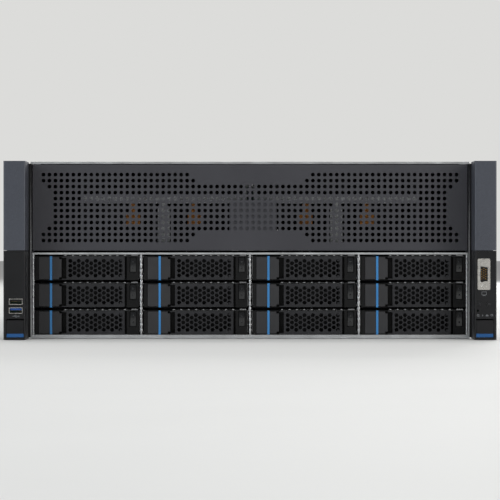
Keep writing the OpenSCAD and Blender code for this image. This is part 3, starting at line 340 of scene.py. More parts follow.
def flake_material(name, colour):
    """Lacquer with aluminium flake: a Voronoi cell of 0.45 mm stands for each flake, coarser than life so that it
    shows, and tilts its own way, under a thin clear coat."""
    made, tree, shader = blank_material(name)
    place = add(tree, "ShaderNodeTexCoord").outputs["Object"]
    flake = add(tree, "ShaderNodeTexVoronoi", {"Vector": place, "Scale": 1 / (0.45 * MM)})
    grey = add(tree, "ShaderNodeSeparateColor", {0: flake.outputs["Color"]}).outputs[0]
    slow = noise(tree, place, 40.0, 4.0)
    dark = add(tree, "ShaderNodeMix", {0: ramp(tree, slow, [(0.3, 0.0), (0.7, 1.0)]), 6: [c * 0.93 for c in colour],
                                       7: [c * 1.05 for c in colour]}, data_type="RGBA").outputs[2]
    base = add(tree, "ShaderNodeMix", {0: ramp(tree, grey, [(0.0, 0.0), (1.0, 0.34)]), 6: dark,
                                       7: [min(1, c * 2.2) for c in colour]}, data_type="RGBA").outputs[2]
    rounded = add(tree, "ShaderNodeBevel", {"Radius": 0.5 * MM}, samples=4).outputs[0]
    tilt = add(tree, "ShaderNodeBump", {"Height": grey, "Distance": 0.03 * MM, "Strength": 1.0, "Normal": rounded})
    # Painted highlight: the lacquer is lightened along its rounded edges, where the rounded normal turns away from the
    # flat one.
    facing = add(tree, "ShaderNodeVectorMath", {0: rounded, 1: add(tree, "ShaderNodeNewGeometry").outputs["Normal"]},
                 operation="DOT_PRODUCT").outputs["Value"]
    base = add(tree, "ShaderNodeMix", {0: ramp(tree, facing, [(0.8, 0.45), (0.985, 0.0)]), 6: base,
                                       7: [min(1, c * 2.4) for c in colour]}, data_type="RGBA").outputs[2]
    tree.links.new(base, shader.inputs["Base Color"])
    tree.links.new(tilt.outputs[0], shader.inputs["Normal"])
    tree.links.new(rounded, shader.inputs["Coat Normal"])
    shader.inputs["Metallic"].default_value = 0.35
    shader.inputs["Roughness"].default_value = 0.46
    shader.inputs["Coat Weight"].default_value = 0.25
    shader.inputs["Coat Roughness"].default_value = 0.3
    made.diffuse_color = (*colour, 1.0)
    return made


def lens_material(name):
    """Smoked polycarbonate: nearly black from in front, glossy, with a faint frosted light pipe behind it."""
    made, tree, shader = blank_material(name)
    place = add(tree, "ShaderNodeTexCoord").outputs["Object"]
    cloud = ramp(tree, noise(tree, place, 2.5), [(0.3, linear("#0d0e10")), (0.7, linear("#17191c"))])
    tree.links.new(cloud, shader.inputs["Base Color"])
    tree.links.new(ramp(tree, noise(tree, place, 6.0), [(0.3, 0.12), (0.7, 0.22)]), shader.inputs["Roughness"])
    shader.inputs["IOR"].default_value = 1.58
    shader.inputs["Specular IOR Level"].default_value = 0.4
    shader.inputs["Coat Weight"].default_value = 0.3
    made.diffuse_color = (0.01, 0.01, 0.012, 1.0)
    return made


# ---------------------------------------------------------------- materials on the nodes of the frame


def separate_solids(points, faces):
    """A number for each face, the same for all faces of one closed solid.

    Points at the same place are made one, and the lowest point number spreads along the faces until nothing changes."""
    _, same = np.unique(np.round(points, 3), axis=0, return_inverse=True)
    faces = same.reshape(-1)[faces]
    label = np.arange(faces.max() + 1)
    while True:
        low = label[faces].min(1)
        fresh = label.copy()
        np.minimum.at(fresh, faces, low[:, None])
        fresh = fresh[fresh]
        if (fresh == label).all():
            return label[faces[:, 0]]
        label = fresh


def dress(node, base, solids=(), areas=()):
    """Gives a node its base finish. Each of solids is (low corner, high corner, finish) for the solids that lie
    wholly in that box, and each of areas is the same for the single faces that do. Boxes are in millimetres, None is
    no limit, and a later box goes over an earlier one."""
    target = frame["nodes"][node]
    mesh = target.data
    keys = [base] + [box[2] for box in (*solids, *areas)]
    keys = list(dict.fromkeys(keys))
    mesh.materials.clear()
    for key in keys:
        mesh.materials.append(finish(key))
    index = np.zeros(len(mesh.polygons), np.int32)
    if solids or areas:
        points = np.zeros(len(mesh.vertices) * 3)
        mesh.vertices.foreach_get("co", points)
        points = points.reshape(-1, 3) / MM
        mesh.calc_loop_triangles()
        triangles = np.zeros(len(mesh.loop_triangles) * 3, np.int32)
        owners = np.zeros(len(mesh.loop_triangles), np.int32)
        mesh.loop_triangles.foreach_get("vertices", triangles)
        mesh.loop_triangles.foreach_get("polygon_index", owners)
        triangles = triangles.reshape(-1, 3)
        low, high = points[triangles].min(1), points[triangles].max(1)
        if solids:
            label = separate_solids(points, triangles)
            _, group = np.unique(label, return_inverse=True)
            group = group.reshape(-1)
            solid_low = np.full((group.max() + 1, 3), 1e9)
            solid_high = -solid_low
            np.minimum.at(solid_low, group, low)
            np.maximum.at(solid_high, group, high)
            for start, end, key in solids:
                index[owners[inside(solid_low, solid_high, start, end)[group]]] = keys.index(key)
        for start, end, key in areas:
            index[owners[inside(low, high, start, end)]] = keys.index(key)
    mesh.polygons.foreach_set("material_index", index)
    mesh.update()


def inside(low, high, start, end):
    """Which boxes lie wholly between two corners, where None is no limit."""
    start = np.array([-1e9 if v is None else v for v in start])
    end = np.array([1e9 if v is None else v for v in end])
    return ((low >= start - 0.01) & (high <= end + 0.01)).all(1)


# ---------------------------------------------------------------- surfaces


def grid_faces(rows, columns, close_rows=False, close_columns=True):
    """Four-cornered faces over a grid of points, joined across its seams where it is closed."""
    r = np.arange(rows if close_rows else rows - 1)
    c = np.arange(columns if close_columns else columns - 1)
    r, c = np.meshgrid(r, c, indexing="ij")
    r2, c2 = (r + 1) % rows, (c + 1) % columns
    return np.stack([r * columns + c, r * columns + c2, r2 * columns + c2, r2 * columns + c], -1).reshape(-1, 4)


def revolve(profile, steps):
    """Turns a profile of (radius, height) about the Z axis: x = r cos a, y = r sin a, z = h.
    A radius of 0 at an end closes it, because every point of that ring is then one place."""
    profile = np.asarray(profile, float)
    angle = np.arange(steps) * 2 * np.pi / steps
    points = np.stack([profile[:, :1] * np.cos(angle), profile[:, :1] * np.sin(angle),
                       np.repeat(profile[:, 1:], steps, 1)], -1).reshape(-1, 3)
    return points, grid_faces(len(profile), steps)[:, ::-1]


def carry(section, path, up, closed):
    """Carries a closed section along a flat path: point = path + u * side + v * up, where side is across the path
    and lies in its plane, lengthened at each corner so that the section keeps its width. Open ends are capped."""
    section, path, up = np.asarray(section, float), np.asarray(path, float), np.asarray(up, float)
    step = np.roll(path, -1, 0) - path
    if not closed:
        step[-1] = step[-2]
    step /= np.linalg.norm(step, axis=1, keepdims=True)
    before = np.roll(step, 1, 0)
    if not closed:
        before[0] = step[0]
    side = np.cross(step, up)
    middle = side + np.cross(before, up)
    middle /= (middle * side).sum(1, keepdims=True)
    points = (path[:, None] + section[None, :, :1] * middle[:, None] + section[None, :, 1:] * up).reshape(-1, 3)
    count, around = len(path), len(section)
    faces = [list(face) for face in grid_faces(count, around, close_rows=closed)]
    if not closed:
        faces += [list(range(around))[::-1], list(range((count - 1) * around, count * around))]
    return points, faces


def circle_section(radius, sides):
    """A circle's points, for a wire."""
    angle = np.arange(sides) * 2 * np.pi / sides
    return np.stack([radius * np.cos(angle), radius * np.sin(angle)], 1)


def strip_section(width, height):
    """A rectangle's points, for a printed line, with its foot on the surface."""
    return np.array([[width / 2, 0], [width / 2, height], [-width / 2, height], [-width / 2, 0]])


def turned(points, across, up, out):
    """Turns a shape's own X, Y and Z to three given directions."""
    return points @ np.array([across, up, out], float)


def repeated(shape, places):
    """One shape at many places, as one set of points and faces."""
    points, faces = shape
    places = np.asarray(places, float).reshape(-1, 3)
    every = (points[None] + places[:, None]).reshape(-1, 3)
    moved = [[int(v) + k * len(points) for v in face] for k in range(len(places)) for face in faces]
    return every, moved


def joined(*shapes):
    """Several shapes as one."""
    points, faces, start = [], [], 0
    for shape_points, shape_faces in shapes:
        points.append(shape_points)
        faces += [[int(v) + start for v in face] for face in shape_faces]
        start += len(shape_points)
    return np.concatenate(points), faces


def piece(name, shape, finish_key, body, smooth=True):
    """Makes a shape, given in millimetres, a piece that rides on a body. Doubled points are merged and the faces
    turned outwards before it is smoothed."""
    points, faces = shape
    mesh = bpy.data.meshes.new(name)
    mesh.from_pydata((np.asarray(points) * MM).tolist(), [], [list(map(int, face)) for face in faces])
    made = bpy.data.objects.new(name, mesh)
    bpy.context.scene.collection.objects.link(made)
    tidy_mesh(mesh)
    if smooth:
        mesh.polygons.foreach_set("use_smooth", np.ones(len(mesh.polygons), bool))
        mesh.set_sharp_from_angle(angle=math.radians(38))
    mesh.materials.append(finish(finish_key))
    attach(made, body)
    return made


def tidy_mesh(mesh):
    """Merges doubled points, drops faces that have shrunk to a line, and points every face outwards."""
    work = bmesh.new()
    work.from_mesh(mesh)
    bmesh.ops.remove_doubles(work, verts=work.verts, dist=1e-7)
    bmesh.ops.dissolve_degenerate(work, edges=work.edges, dist=1e-8)
    bmesh.ops.recalc_face_normals(work, faces=work.faces)
    work.to_mesh(mesh)
    work.free()
    mesh.update()


AXES = {"front": ((1, 0, 0), (0, 0, 1), (0, -1, 0)), "rear": ((-1, 0, 0), (0, 0, 1), (0, 1, 0)),
        "left": ((0, -1, 0), (0, 0, 1), (-1, 0, 0)), "right": ((0, 1, 0), (0, 0, 1), (1, 0, 0)),
        "top": ((1, 0, 0), (0, 1, 0), (0, 0, 1))}


def screw_head(radius, height, facing, recess=0.55):
    """A pan head with a cross recess, facing one side of the server.

    Over a disc, the height is height * (1 - 0.45 q^4) for q = r / radius, less a cross of depth 0.6 * height where
    either |x| or |y| is under an eighth of the radius and r is under recess * radius. The rim drops to the seat."""
    steps = 24
    q = np.array([0.0, 0.12, 0.3, recess, recess + 0.06, 0.8, 0.93, 1.0])
    angle = np.arange(steps) * 2 * np.pi / steps
    x, y = q[:, None] * np.cos(angle), q[:, None] * np.sin(angle)
    top = height * (1 - 0.45 * q[:, None] ** 4) * np.ones(steps)
    cross = (np.minimum(np.abs(x), np.abs(y)) < 0.13) & (q[:, None] < recess + 0.01)
    top = np.where(cross, top - 0.6 * height, top)
    points = np.stack([radius * x, radius * y, top], -1)
    seat = points[-1:].copy()
    seat[..., 2] = 0
    middle = seat * 0
    points = np.concatenate([points, seat, middle]).reshape(-1, 3)
    return turned(points, *AXES[facing]), grid_faces(len(q) + 2, steps)[:, ::-1]


# ---------------------------------------------------------------- sizes and colours that a user may change


def length(name, text, value, low=0.0, high=1.0):
    """A size in metres, given in millimetres here."""
    return FloatProperty(name=name, description=text, default=value * MM, min=low * MM, max=high * MM, unit="LENGTH",
                         subtype="DISTANCE", precision=4)


def shade(name, text, code):
    """A colour, given as sRGB hex."""
    return FloatVectorProperty(name=name, description=text, default=linear(code), subtype="COLOR", size=3, min=0, max=1)


class ServerColours(bpy.types.PropertyGroup):
    """Colours of the finishes"""

    zinc: shade("Zinc-coated sheet", "Case, lid, cage and brackets", "#dddfe1")
    panel: shade("Front panel", "Powder coat of the perforated panel", "#3a3a3f")
    ear_paint: shade("Ear covers", "Lacquer of the upper part of each ear", "#42454d")
    black_plastic: shade("Black plastic", "Lower part of each ear, its flap and its buttons", "#151517")
    head: shade("Carrier head", "Moulded head of each drive carrier", "#0a0a0b")
    lever: shade("Lever", "Ejector lever of each carrier", "#232326")
    button: shade("Release button", "Button of each carrier", "#2f2f31")
    blue: shade("Blue touch points", "Stripe of each button and the lid latch", "#387fbb")
    deep_blue: shade("Flap lips", "Pulling lip at the foot of each ear's flap", "#1f5288")
    orange: shade("Orange touch points", "Catches of the fan trays", "#b8762f")
    green: shade("Green catch", "Catch of each power supply", "#3d8f5a")
    fan: shade("Fans", "Housings and rotors", "#17171a")
    ink: shade("Printed marks", "Marks beside sockets and lamps", "#85878a")


class ServerSizes(bpy.types.PropertyGroup):
    """Sizes of the small fittings"""

    screw: length("Case screw head", "Diameter of the screws in the sheet metal", 6.0, 3, 9)
    small_screw: length("Small screw head", "Diameter of the screws in cards and boards", 4.6, 2, 7)
    guard_wire: length("Fan guard wire", "Diameter of the wire of each fan guard", 1.6, 0.8, 3)
    lamp: length("Status lamp", "Width of a status lamp on the right ear", 1.8, 1, 3)
    line: length("Printed line", "Width of a printed line", 0.28, 0.1, 0.6)


class ServerStudio(bpy.types.PropertyGroup):
    """Camera and lights"""

    distance: FloatProperty(name="Camera distance", description="From the front of the ears", default=2.0, min=0.5,
                            max=8, unit="LENGTH", subtype="DISTANCE")
    width: FloatProperty(name="View width", description="Width of the view at the front of the ears", default=0.489,
                         min=0.2, max=3, unit="LENGTH", subtype="DISTANCE")
    front: FloatProperty(name="Front lights", description="Level of the two lights in front", default=1.0, min=0, max=4,
                         subtype="FACTOR")
    sky: FloatProperty(name="Fill", description="Level of the light from all around", default=0.42, min=0, max=2,
                       subtype="FACTOR")
    floor: shade("Floor", "Colour of floor and background", "#dcdcda")


class Step:
    """What every operator of this file shares: the scene's settings."""

    bl_options = {"REGISTER"}

    @property
    def sizes(self):
        return bpy.context.scene.server_sizes

    @property
    def studio(self):
        return bpy.context.scene.server_studio


# ---------------------------------------------------------------- case, cage and lid


class SERVER_OT_case(Step, bpy.types.Operator):
    """Zinc-coated sheet on the case, the drive cage and the lid, and blue on the lid's latch"""

    bl_idname = "server.case"
    bl_label = "Case and lid"

    def execute(self, context):
        edge = SIDE_X - SHEET - 0.1
        # Painted shade: the front edges of the case's side walls take the black coat, for the dark gap between each ear
        # and the panel.
        dress("chassis_tub", "zinc", areas=[
            ((None, FRONT_Y - 0.1, 2), (-edge, FRONT_Y + 0.1, None), "black_steel"),
            ((edge, FRONT_Y - 0.1, 2), (None, FRONT_Y + 0.1, None), "black_steel")])
        # The cage's feet under the panel take dark foam, partly a real pad and partly painted shade under the panel's
        # foot.
        feet = [side * place * CAGE_HIGH[0] for side in (-1, 1) for place in (0.15, 0.85)]
        dress("drive_cage", "zinc", areas=[((x - 4.1, None, PANEL_LOW[2] - 2.2), (x + 4.1, None, None), "foam")
                                           for x in feet])
        dress("top_cover", "zinc")
        dress("cover_latch", "blue")
        return {"FINISHED"}


class SERVER_OT_case_screws(Step, bpy.types.Operator):
    """Screws of the roof strip, the ear brackets, the rear wall and the slots"""

    bl_idname = "server.case_screws"
    bl_label = "Case screws"

    def execute(self, context):
        head = self.sizes.screw / MM / 2
        roof = [(side * SIDE_X * 0.8, FRONT_Y + 10, CASE_HIGH[2] - 0.6) for side in (-1, 1)]
        piece("roof_screws", repeated(screw_head(2.3, 0.9, "top"), roof), "screw", "chassis")
        heights = (26.0, 62.0, 112.0, 150.0)
        for side, name, facing in ((-1, "left", "left"), (1, "right", "right")):
            plate = side * (SIDE_X + 1.8)
            spots = [(plate, FRONT_Y + 46, z) for z in heights] + [(plate, FRONT_Y + 22, z) for z in heights]
            heads = repeated(screw_head(head, 1.1, facing), spots)
            piece(f"{name}_ear_screws", heads, "screw", "chassis")
        slot_top = CARD_LOW[2] + 114 - 3.4
        slots = [side * (SIDE_X - SHEET - 3 - (2 * k + 1) * SLOT) for side in (-1, 1) for k in range(4)]
        slots += [(k - 2) * SLOT for k in range(5)]
        slots = [(x, REAR_Y, slot_top) for x in slots]
        small = self.sizes.small_screw / MM / 2
        piece("slot_screws", repeated(screw_head(small, 1.3, "rear"), slots), "screw", "chassis")
        wall = [(x, REAR_Y, CASE_HIGH[2] - 5.0) for x in (-205, -120, -40, 40, 120, 205)]
        piece("rear_wall_screws", repeated(screw_head(2.2, 1.0, "rear"), wall), "screw", "chassis")
        return {"FINISHED"}


# ---------------------------------------------------------------- front


class SERVER_OT_front_panel(Step, bpy.types.Operator):
    """Powder coat on the perforated panel, bare steel on the stiffener behind it"""

    bl_idname = "server.front_panel"
    bl_label = "Front panel"

    def execute(self, context):
        dress("gpu_front_panel", "panel",
              areas=[((-21, FRONT_Y + SHEET + 0.5, 90), (27, FRONT_Y + SHEET + 1.1, 140), "zinc")])
        return {"FINISHED"}


class SERVER_OT_contact_strips(Step, bpy.types.Operator):
    """Sprung steel strips over the front edges of the cage's sheets, and the foam strip under the panel"""

    bl_idname = "server.contact_strips"
    bl_label = "Contact strips"

    def execute(self, context):
        pitch = (CAGE_HIGH[0] - CAGE_LOW[0] - 1) / len(COLUMNS)
        start, end = 4.2, PANEL_LOW[2] - 4.2
        shapes = [contact_strip(CAGE_LOW[0] + 0.5 + pitch * i, start, end, FRONT_Y, 0.85)
                  for i in range(1, len(COLUMNS))]
        shapes += [contact_strip(side * (CAGE_HIGH[0] - 1.0), start, end, FRONT_Y, 0.55) for side in (-1, 1)]
        piece("contact_strips", joined(*shapes), "spring", "chassis")
        half = PANEL_HIGH[0] - 1
        path = [(x, FRONT_Y + 10.6, PANEL_LOW[2] - 2.1) for x in np.linspace(-half, half, 60)]
        bead = [(0.8, 0.02), (1.0, 0.4), (0.9, 1.6), (0, 2.04), (-0.9, 1.6), (-1.0, 0.4), (-0.8, 0.02)]
        foam = carry(bead, path, (0, 0, 1), False)
        piece("panel_gasket", foam, "foam", "chassis")
        return {"FINISHED"}


def contact_strip(x, start, end, front, half):
    """A sprung strip over an upright edge, seen from in front as a band with fingers.

    Across, s runs from -1 to 1 over a U-shaped section: the face where |s| < 0.4, then the legs going back 3 mm.
    Along z, each finger of 5.4 mm bows out sideways by 0.35 * sin^2(pi z / 5.4) and forward by half of that, and
    the strip's own waviness moves it by 0.12 * sin(z / 7)."""
    z = np.arange(start, end, 0.45)
    bow = 0.35 * np.sin(np.pi * z / 5.4) ** 2
    sway = 0.12 * np.sin(z / 7.0)
    left = [(-1, 3.0), (-1, 1.0), (-1, 0.05), (-0.8, -0.25), (-0.3, -0.4)]
    section = left + [(-a, b) for a, b in left[::-1]]

    def line(a, b, scale, back):
        """One line along the strip, at place a across and b back from the front."""
        across = x + sway + a * scale * (half + bow * (0.4 if b > 2 else 1))
        return np.column_stack([across, np.full(len(z), front + b + back) - bow * 0.5 * (b < 0.5), z])

    outer = [line(a, b, 1, 0) for a, b in section]
    inner = [line(a, b, 0.86, 0.15 if b < 2 else 0) for a, b in section[::-1]]
    ring = np.stack(outer + inner, 1)
    count, around = ring.shape[:2]
    faces = [list(face) for face in grid_faces(count, around)]
    faces += [list(range(around))[::-1], list(range((count - 1) * around, count * around))]
    return ring.reshape(-1, 3), faces


class SERVER_OT_ears(Step, bpy.types.Operator):
    """Ear brackets in a black coat, lacquered covers, moulded fascias and their flaps with a blue lip"""

    bl_idname = "server.ears"
    bl_label = "Rack ears"

    def execute(self, context):
        front = FRONT_Y - 2.5
        parts = [((None, None, None), (None, front, FASCIA_TOP + 0.1), "black_abs"),
                 ((None, None, FASCIA_TOP), (None, front, None), "ear_paint")]
        for side in ("left", "right"):
            dress(f"{side}_ear", "black_steel", solids=parts)
            # The flap's lip takes the darker blue, partly its own colour and partly painted shade.
            dress(f"{side}_ear_latch", "black_abs", solids=[((None, None, None), (None, None, 6.2), "deep_blue")])
        dress("power_button", "black_abs")
        dress("id_button", "black_abs")
        return {"FINISHED"}


class SERVER_OT_front_sockets(Step, bpy.types.Operator):
    """Nickel shells, insulators and boards of the sockets in the ears, and their contacts"""

    bl_idname = "server.front_sockets"
    bl_label = "Front sockets"

    def execute(self, context):
        board_y = NOSE_Y + 11.5
        dress("front_ports", "nickel", solids=[
            ((None, board_y, None), (None, None, None), "board"),
            ((-236, None, 37), (-222, board_y + 2.8, 42), "insulator"),
            ((-236, None, 28.5), (-222, board_y + 2.8, 33), "blue_insulator"),
            ((220, NOSE_Y + 2.9, 55), (240, board_y + 0.1, 75), "insulator"),
            ((218, NOSE_Y + 8, 31), (240, board_y + 0.1, 38.5), "insulator")])
        pin = revolve([(0, 0.25), (0.35, 0.25), (0.48, 0.1), (0.48, -0.4), (0, -0.4)], 12)
        pin = (turned(pin[0], *AXES["front"]), pin[1])
        spots = [(229 + (k - 1) * 1.98, NOSE_Y + 3, 64.1 + (j - 2) * 2.29 + (1.14 if k == 1 else 0))
                 for k in range(3) for j in range(5)]
        piece("monitor_socket_contacts", repeated(pin, spots), "gold", "chassis")
        end = ((-0.5, 0), (0.5, 0), (0.5, 0.12), (-0.5, 0.12))
        blade = (np.array([(x, y, z) for y in (0, 5) for x, z in end], float),
                 [[3, 2, 1, 0], [4, 5, 6, 7], [0, 1, 5, 4], [1, 2, 6, 5], [2, 3, 7, 6], [3, 0, 4, 7]])
        spots = [(-229.2 + x, NOSE_Y + 2.3, z + 0.18) for z in (28.6, 37.2) for x in (-3.5, -1, 1, 3.5)]
        piece("front_usb_contacts", repeated(blade, spots), "gold", "chassis", smooth=False)
        return {"FINISHED"}


def box_outline(width, height):
    """Corners of a rectangle about the middle."""
    return [(-width / 2, -height / 2), (width / 2, -height / 2), (width / 2, height / 2), (-width / 2, height / 2)]


def arc(radius, start, end, count):
    """Points of an arc, angles in degrees."""
    angle = np.radians(np.linspace(start, end, count))
    return np.stack([radius * np.cos(angle), radius * np.sin(angle)], 1)


class SERVER_OT_ear_marks(Step, bpy.types.Operator):
    """Printed marks beside the sockets and buttons, and the status lamps"""

    bl_idname = "server.ear_marks"
    bl_label = "Ear marks and lamps"

    def execute(self, context):
        width = self.sizes.line / MM
        section = strip_section(width, 0.03)
        face = NOSE_Y

        def mark(x, z, outlines):
            """Lines drawn on the ear's face about a point: each outline is (points, whether it closes)."""
            shapes = []
            for points, closed in outlines:
                path = np.array([(x + u, face, z + v) for u, v in points])
                shapes.append(carry(section, path, (0, -1, 0), closed))
            return joined(*shapes)

        screen = mark(229.0, 45.4, [(box_outline(4.4, 2.9), True), ([(-1.3, -2.2), (1.3, -2.2)], False)])
        power = mark(224.7, 34.9, [(arc(0.95, 125, 415, 14), False), ([(0, 0.1), (0, 1.3)], False)])
        finder = mark(234.0, 34.9, [(arc(1.0, 0, 330, 14), True), ([(0, -0.5), (0, 0.5)], False)])
        plug = mark(-229.2, 23.0, [([(-3.2, 0), (2.6, 0)], False), (arc(0.5, 0, 330, 10) + [3.1, 0], True),
                                   ([(-1.6, 0), (-0.4, 1.1), (1.0, 1.1)], False),
                                   ([(-0.9, 0), (0.2, -1.1), (1.4, -1.1)], False)])
        piece("right_ear_marks", screen, "ink", "chassis", smooth=False)
        piece("power_mark", power, "dark_ink", "power_button", smooth=False)
        piece("finder_mark", finder, "dark_ink", "id_button", smooth=False)
        piece("left_ear_marks", plug, "ink", "chassis", smooth=False)
        lamp = self.sizes.lamp / MM
        shapes = [
            mark(223.0, 23.9, [(box_outline(lamp, lamp), True), ([(0, -0.35), (0, 0.35)], False)]),
            mark(227.5, 23.9, [([(0.25, lamp * 0.6), (-0.35, 0), (0.35, 0), (-0.25, -lamp * 0.6)], False)]),
            mark(232.0, 23.9, [(box_outline(lamp * 0.5, lamp * 0.4) + np.array([[-lamp * 0.35, -0.5]]), True),
                               ([(-0.63, -0.1), (-0.63, 0.6), (0.63, 0.6), (0.63, -0.1)], False),
                               (box_outline(lamp * 0.5, lamp * 0.4) + np.array([[lamp * 0.35, -0.5]]), True)]),
            mark(236.5, 23.9, [([(-lamp / 2, lamp / 2), (lamp / 2, lamp / 2), (lamp / 2, -0.2), (0, -lamp / 2),
                                 (-lamp / 2, -0.2)], True)]),
        ]
        piece("status_lamps", joined(*shapes), "ink", "chassis", smooth=False)
        return {"FINISHED"}


# ---------------------------------------------------------------- drives


class SERVER_OT_drive_carriers(Step, bpy.types.Operator):
    """Moulded heads, steel rails, spring strips and drives of the twelve carriers, with their levers and buttons"""

    bl_idname = "server.drive_carriers"
    bl_label = "Drive carriers"

    def execute(self, context):
        for name in BAYS:
            at = bay(name)
            x, y, z = at
            rail = 50.84
            dress(f"drive_carrier_{name}", "head", solids=[
                ((x - 52.1, y + 12.2, None), (x - rail, None, None), "zinc"),
                ((x + rail, y + 12.2, None), (x + 52.1, None, None), "zinc"),
                ((None, y + 7.9, z + 11.97), (None, y + 11.1, None), "spring"),
                # The drives behind the heads take the black casting finish, partly a real black coat and partly painted
                # shade deep behind the honeycomb.
                ((None, y + 22.9, None), (None, None, None), "casting")],
                areas=[((x - 48.6, y + 25, z + 12.7), (x + 48.6, None, z + 13.5), "drive_lid"),
                       ((x - 47, y + 34, z - 11), (x + 47, None, z - 10), "drive_board"),
                       ((x - 40, y + 163, z - 10.8), (x + 4, None, z - 3), "insulator")])
            dress(f"carrier_lever_{name}", "lever")
            dress(f"release_button_{name}", "button",
                  solids=[((x - 37, None, None), (x - 34.4, y + 0.82, None), "blue")])
        sockets = ((None, None, None), (None, BACKPLANE_REAR - 1.62, None), "insulator")
        dress("drive_backplane", "board", solids=[sockets])
        return {"FINISHED"}


class SERVER_OT_status_windows(Step, bpy.types.Operator):
    """A smoked window with two round light pipes in the end block of each carrier"""

    bl_idname = "server.status_windows"
    bl_label = "Carrier windows"

    def execute(self, context):
        for name in BAYS:
            x, y, z = bay(name)
            low, high = (x + 42.5, z - 4.1), (x + 49.2, z + 10.85)
            window = rounded_plate(low, high, y + 1.2, y + 2.9, 0.7)
            piece(f"status_window_{name}", window, "lens", f"drive_carrier_{name}")
            pipe = revolve([(0, 0.55), (0.5, 0.48), (0.85, 0.25), (0.95, 0), (0.95, -0.3), (0, -0.3)], 16)
            pipe = (turned(pipe[0], *AXES["front"]), pipe[1])
            spots = [((low[0] + high[0]) / 2, y + 1.2, z + dz) for dz in (0.4, 6.4)]
            piece(f"light_pipes_{name}", repeated(pipe, spots), "lens", f"drive_carrier_{name}")
        return {"FINISHED"}


def rounded_plate(low, high, front, back, radius):
    """A plate across the front with its four front edges eased: the outline shrinks by radius * (1 - cos t) as it
    comes forward by radius * sin t, for t from 0 to 90 degrees, and the face is closed."""
    turn = np.radians(np.linspace(0, 90, 5))
    inset = np.concatenate([[0], radius * (1 - np.cos(turn))])
    depth = np.concatenate([[back], front + radius * (1 - np.sin(turn))])
    outline = np.array([(low[0], low[1]), (high[0], low[1]), (high[0], high[1]), (low[0], high[1])])
    inward = np.array([(1, 1), (-1, 1), (-1, -1), (1, -1)])
    rings = [np.column_stack([outline[:, 0] + inward[:, 0] * i, np.full(4, d), outline[:, 1] + inward[:, 1] * i])
             for i, d in zip(inset, depth)]
    points = np.concatenate(rings)
    faces = [list(face) for face in grid_faces(len(rings), 4)]
    last = (len(rings) - 1) * 4
    return points, faces + [[3, 2, 1, 0], [last, last + 1, last + 2, last + 3]]


# ---------------------------------------------------------------- inside


class SERVER_OT_fans(Step, bpy.types.Operator):
    """Fan housings, rotors, trays and their orange catches"""

    bl_idname = "server.fans"
    bl_label = "Fans"

    def execute(self, context):
        dress("fan_trays", "zinc", solids=[
            ((None, FRONT_Y + 37.9, 89.6), (None, FRONT_Y + 76.1, None), "fan"),
            ((None, FRONT_Y + 30.9, 111), (None, FRONT_Y + 36.1, 136), "orange")])
        for name in ROTORS:
            low, high = corners(name)
            x, z = (low[0] + high[0]) / 2, (low[2] + high[2]) / 2
            dress(name, "fan", areas=[((x - 2.1, low[1] + 25, z - 2.1), (x + 2.1, None, z + 2.1), "steel_shaft")])
        return {"FINISHED"}


class SERVER_OT_fan_guards(Step, bpy.types.Operator):
    """A wire guard in front of each fan: rings on a cross of two wires"""

    bl_idname = "server.fan_guards"
    bl_label = "Fan guards"

    def execute(self, context):
        wire = circle_section(self.sizes.guard_wire / MM / 2, 8)
        y = FRONT_Y + 36.2
        for name in ROTORS:
            low, high = corners(name)
            x, z = (low[0] + high[0]) / 2, (low[2] + high[2]) / 2
            shapes = []
            for radius in (11, 20, 29, 38):
                ring = arc(radius, 0, 360, 49)[:-1]
                shapes.append(carry(wire, [(x + u, y, z + v) for u, v in ring], (0, -1, 0), True))
            for a in (45, 135):
                u, v = 42 * math.cos(math.radians(a)), 42 * math.sin(math.radians(a))
                shapes.append(carry(wire, [(x - u, y + 1.2, z - v), (x + u, y + 1.2, z + v)], (0, -1, 0), False))
            piece(f"fan_guard_{name[-1]}", joined(*shapes), "black_screw", "chassis")
        return {"FINISHED"}


class SERVER_OT_cards(Step, bpy.types.Operator):
    """Anodised shrouds, gold card edges and slot brackets"""

    bl_idname = "server.cards"
    bl_label = "Graphics cards"

    def execute(self, context):
        dress("gpu_cards", "shroud", solids=[((None, REAR_Y - 2.3, None), (None, None, None), "zinc")],
              areas=[((None, CARD_LOW[1] - 1, 66), (None, CARD_LOW[1] + 19, 157), "insulator"),
                     ((None, None, 50), (None, REAR_Y - 3, 58.1), "gold")])
        return {"FINISHED"}


class SERVER_OT_boards(Step, bpy.types.Operator):
    """Solder mask, coolers, memory, sockets and rear connectors of the system board"""

    bl_idname = "server.boards"
    bl_label = "Boards"

    def execute(self, context):
        dress("system_board", "insulator", solids=[
            ((None, None, 6.9), (None, None, 8.7), "board"),
            ((None, CARD_LOW[1], 45.2), (None, None, 47.0), "board"),
            ((None, None, 1.0), (None, None, 7.0), "gold"),
            ((None, None, 43.2), (None, None, 45.3), "gold"),
            ((None, REAR_Y - 18.1, 10), (None, None, 30), "nickel")],
            areas=[((None, -60, 11.5), (None, 60, 72), "fins"),
                   ((-165, -75, 15.2), (165, 80, 40), "board")])
        return {"FINISHED"}


class SERVER_OT_supplies(Step, bpy.types.Operator):
    """Plated cases of the power supplies, black handles and inlets, green catches"""

    bl_idname = "server.supplies"
    bl_label = "Power supplies"

    def execute(self, context):
        for name in SUPPLIES:
            low, high = corners(name)
            left, middle = low[0] + 18, (low[2] + high[2]) / 2
            fan = high[0] - 18.5
            dress(name, "supply", solids=[
                ((None, REAR_Y - 0.1, None), (None, None, None), "black_abs"),
                ((left - 9.1, REAR_Y - 0.1, high[2] - 6.2), (left + 9.1, REAR_Y + 12.1, None), "green"),
                ((left - 8, REAR_Y - 15.1, low[2] + 8), (left + 8, REAR_Y - 4, high[2] - 14), "spring")],
                areas=[((left - 13.1, REAR_Y - 15.1, middle - 13.1), (left + 13.1, REAR_Y, middle + 5.1), "insulator"),
                       ((fan - 16, REAR_Y - 9.1, None), (fan + 16, REAR_Y - 0.05, None), "insulator")])
        return {"FINISHED"}


# ---------------------------------------------------------------- studio


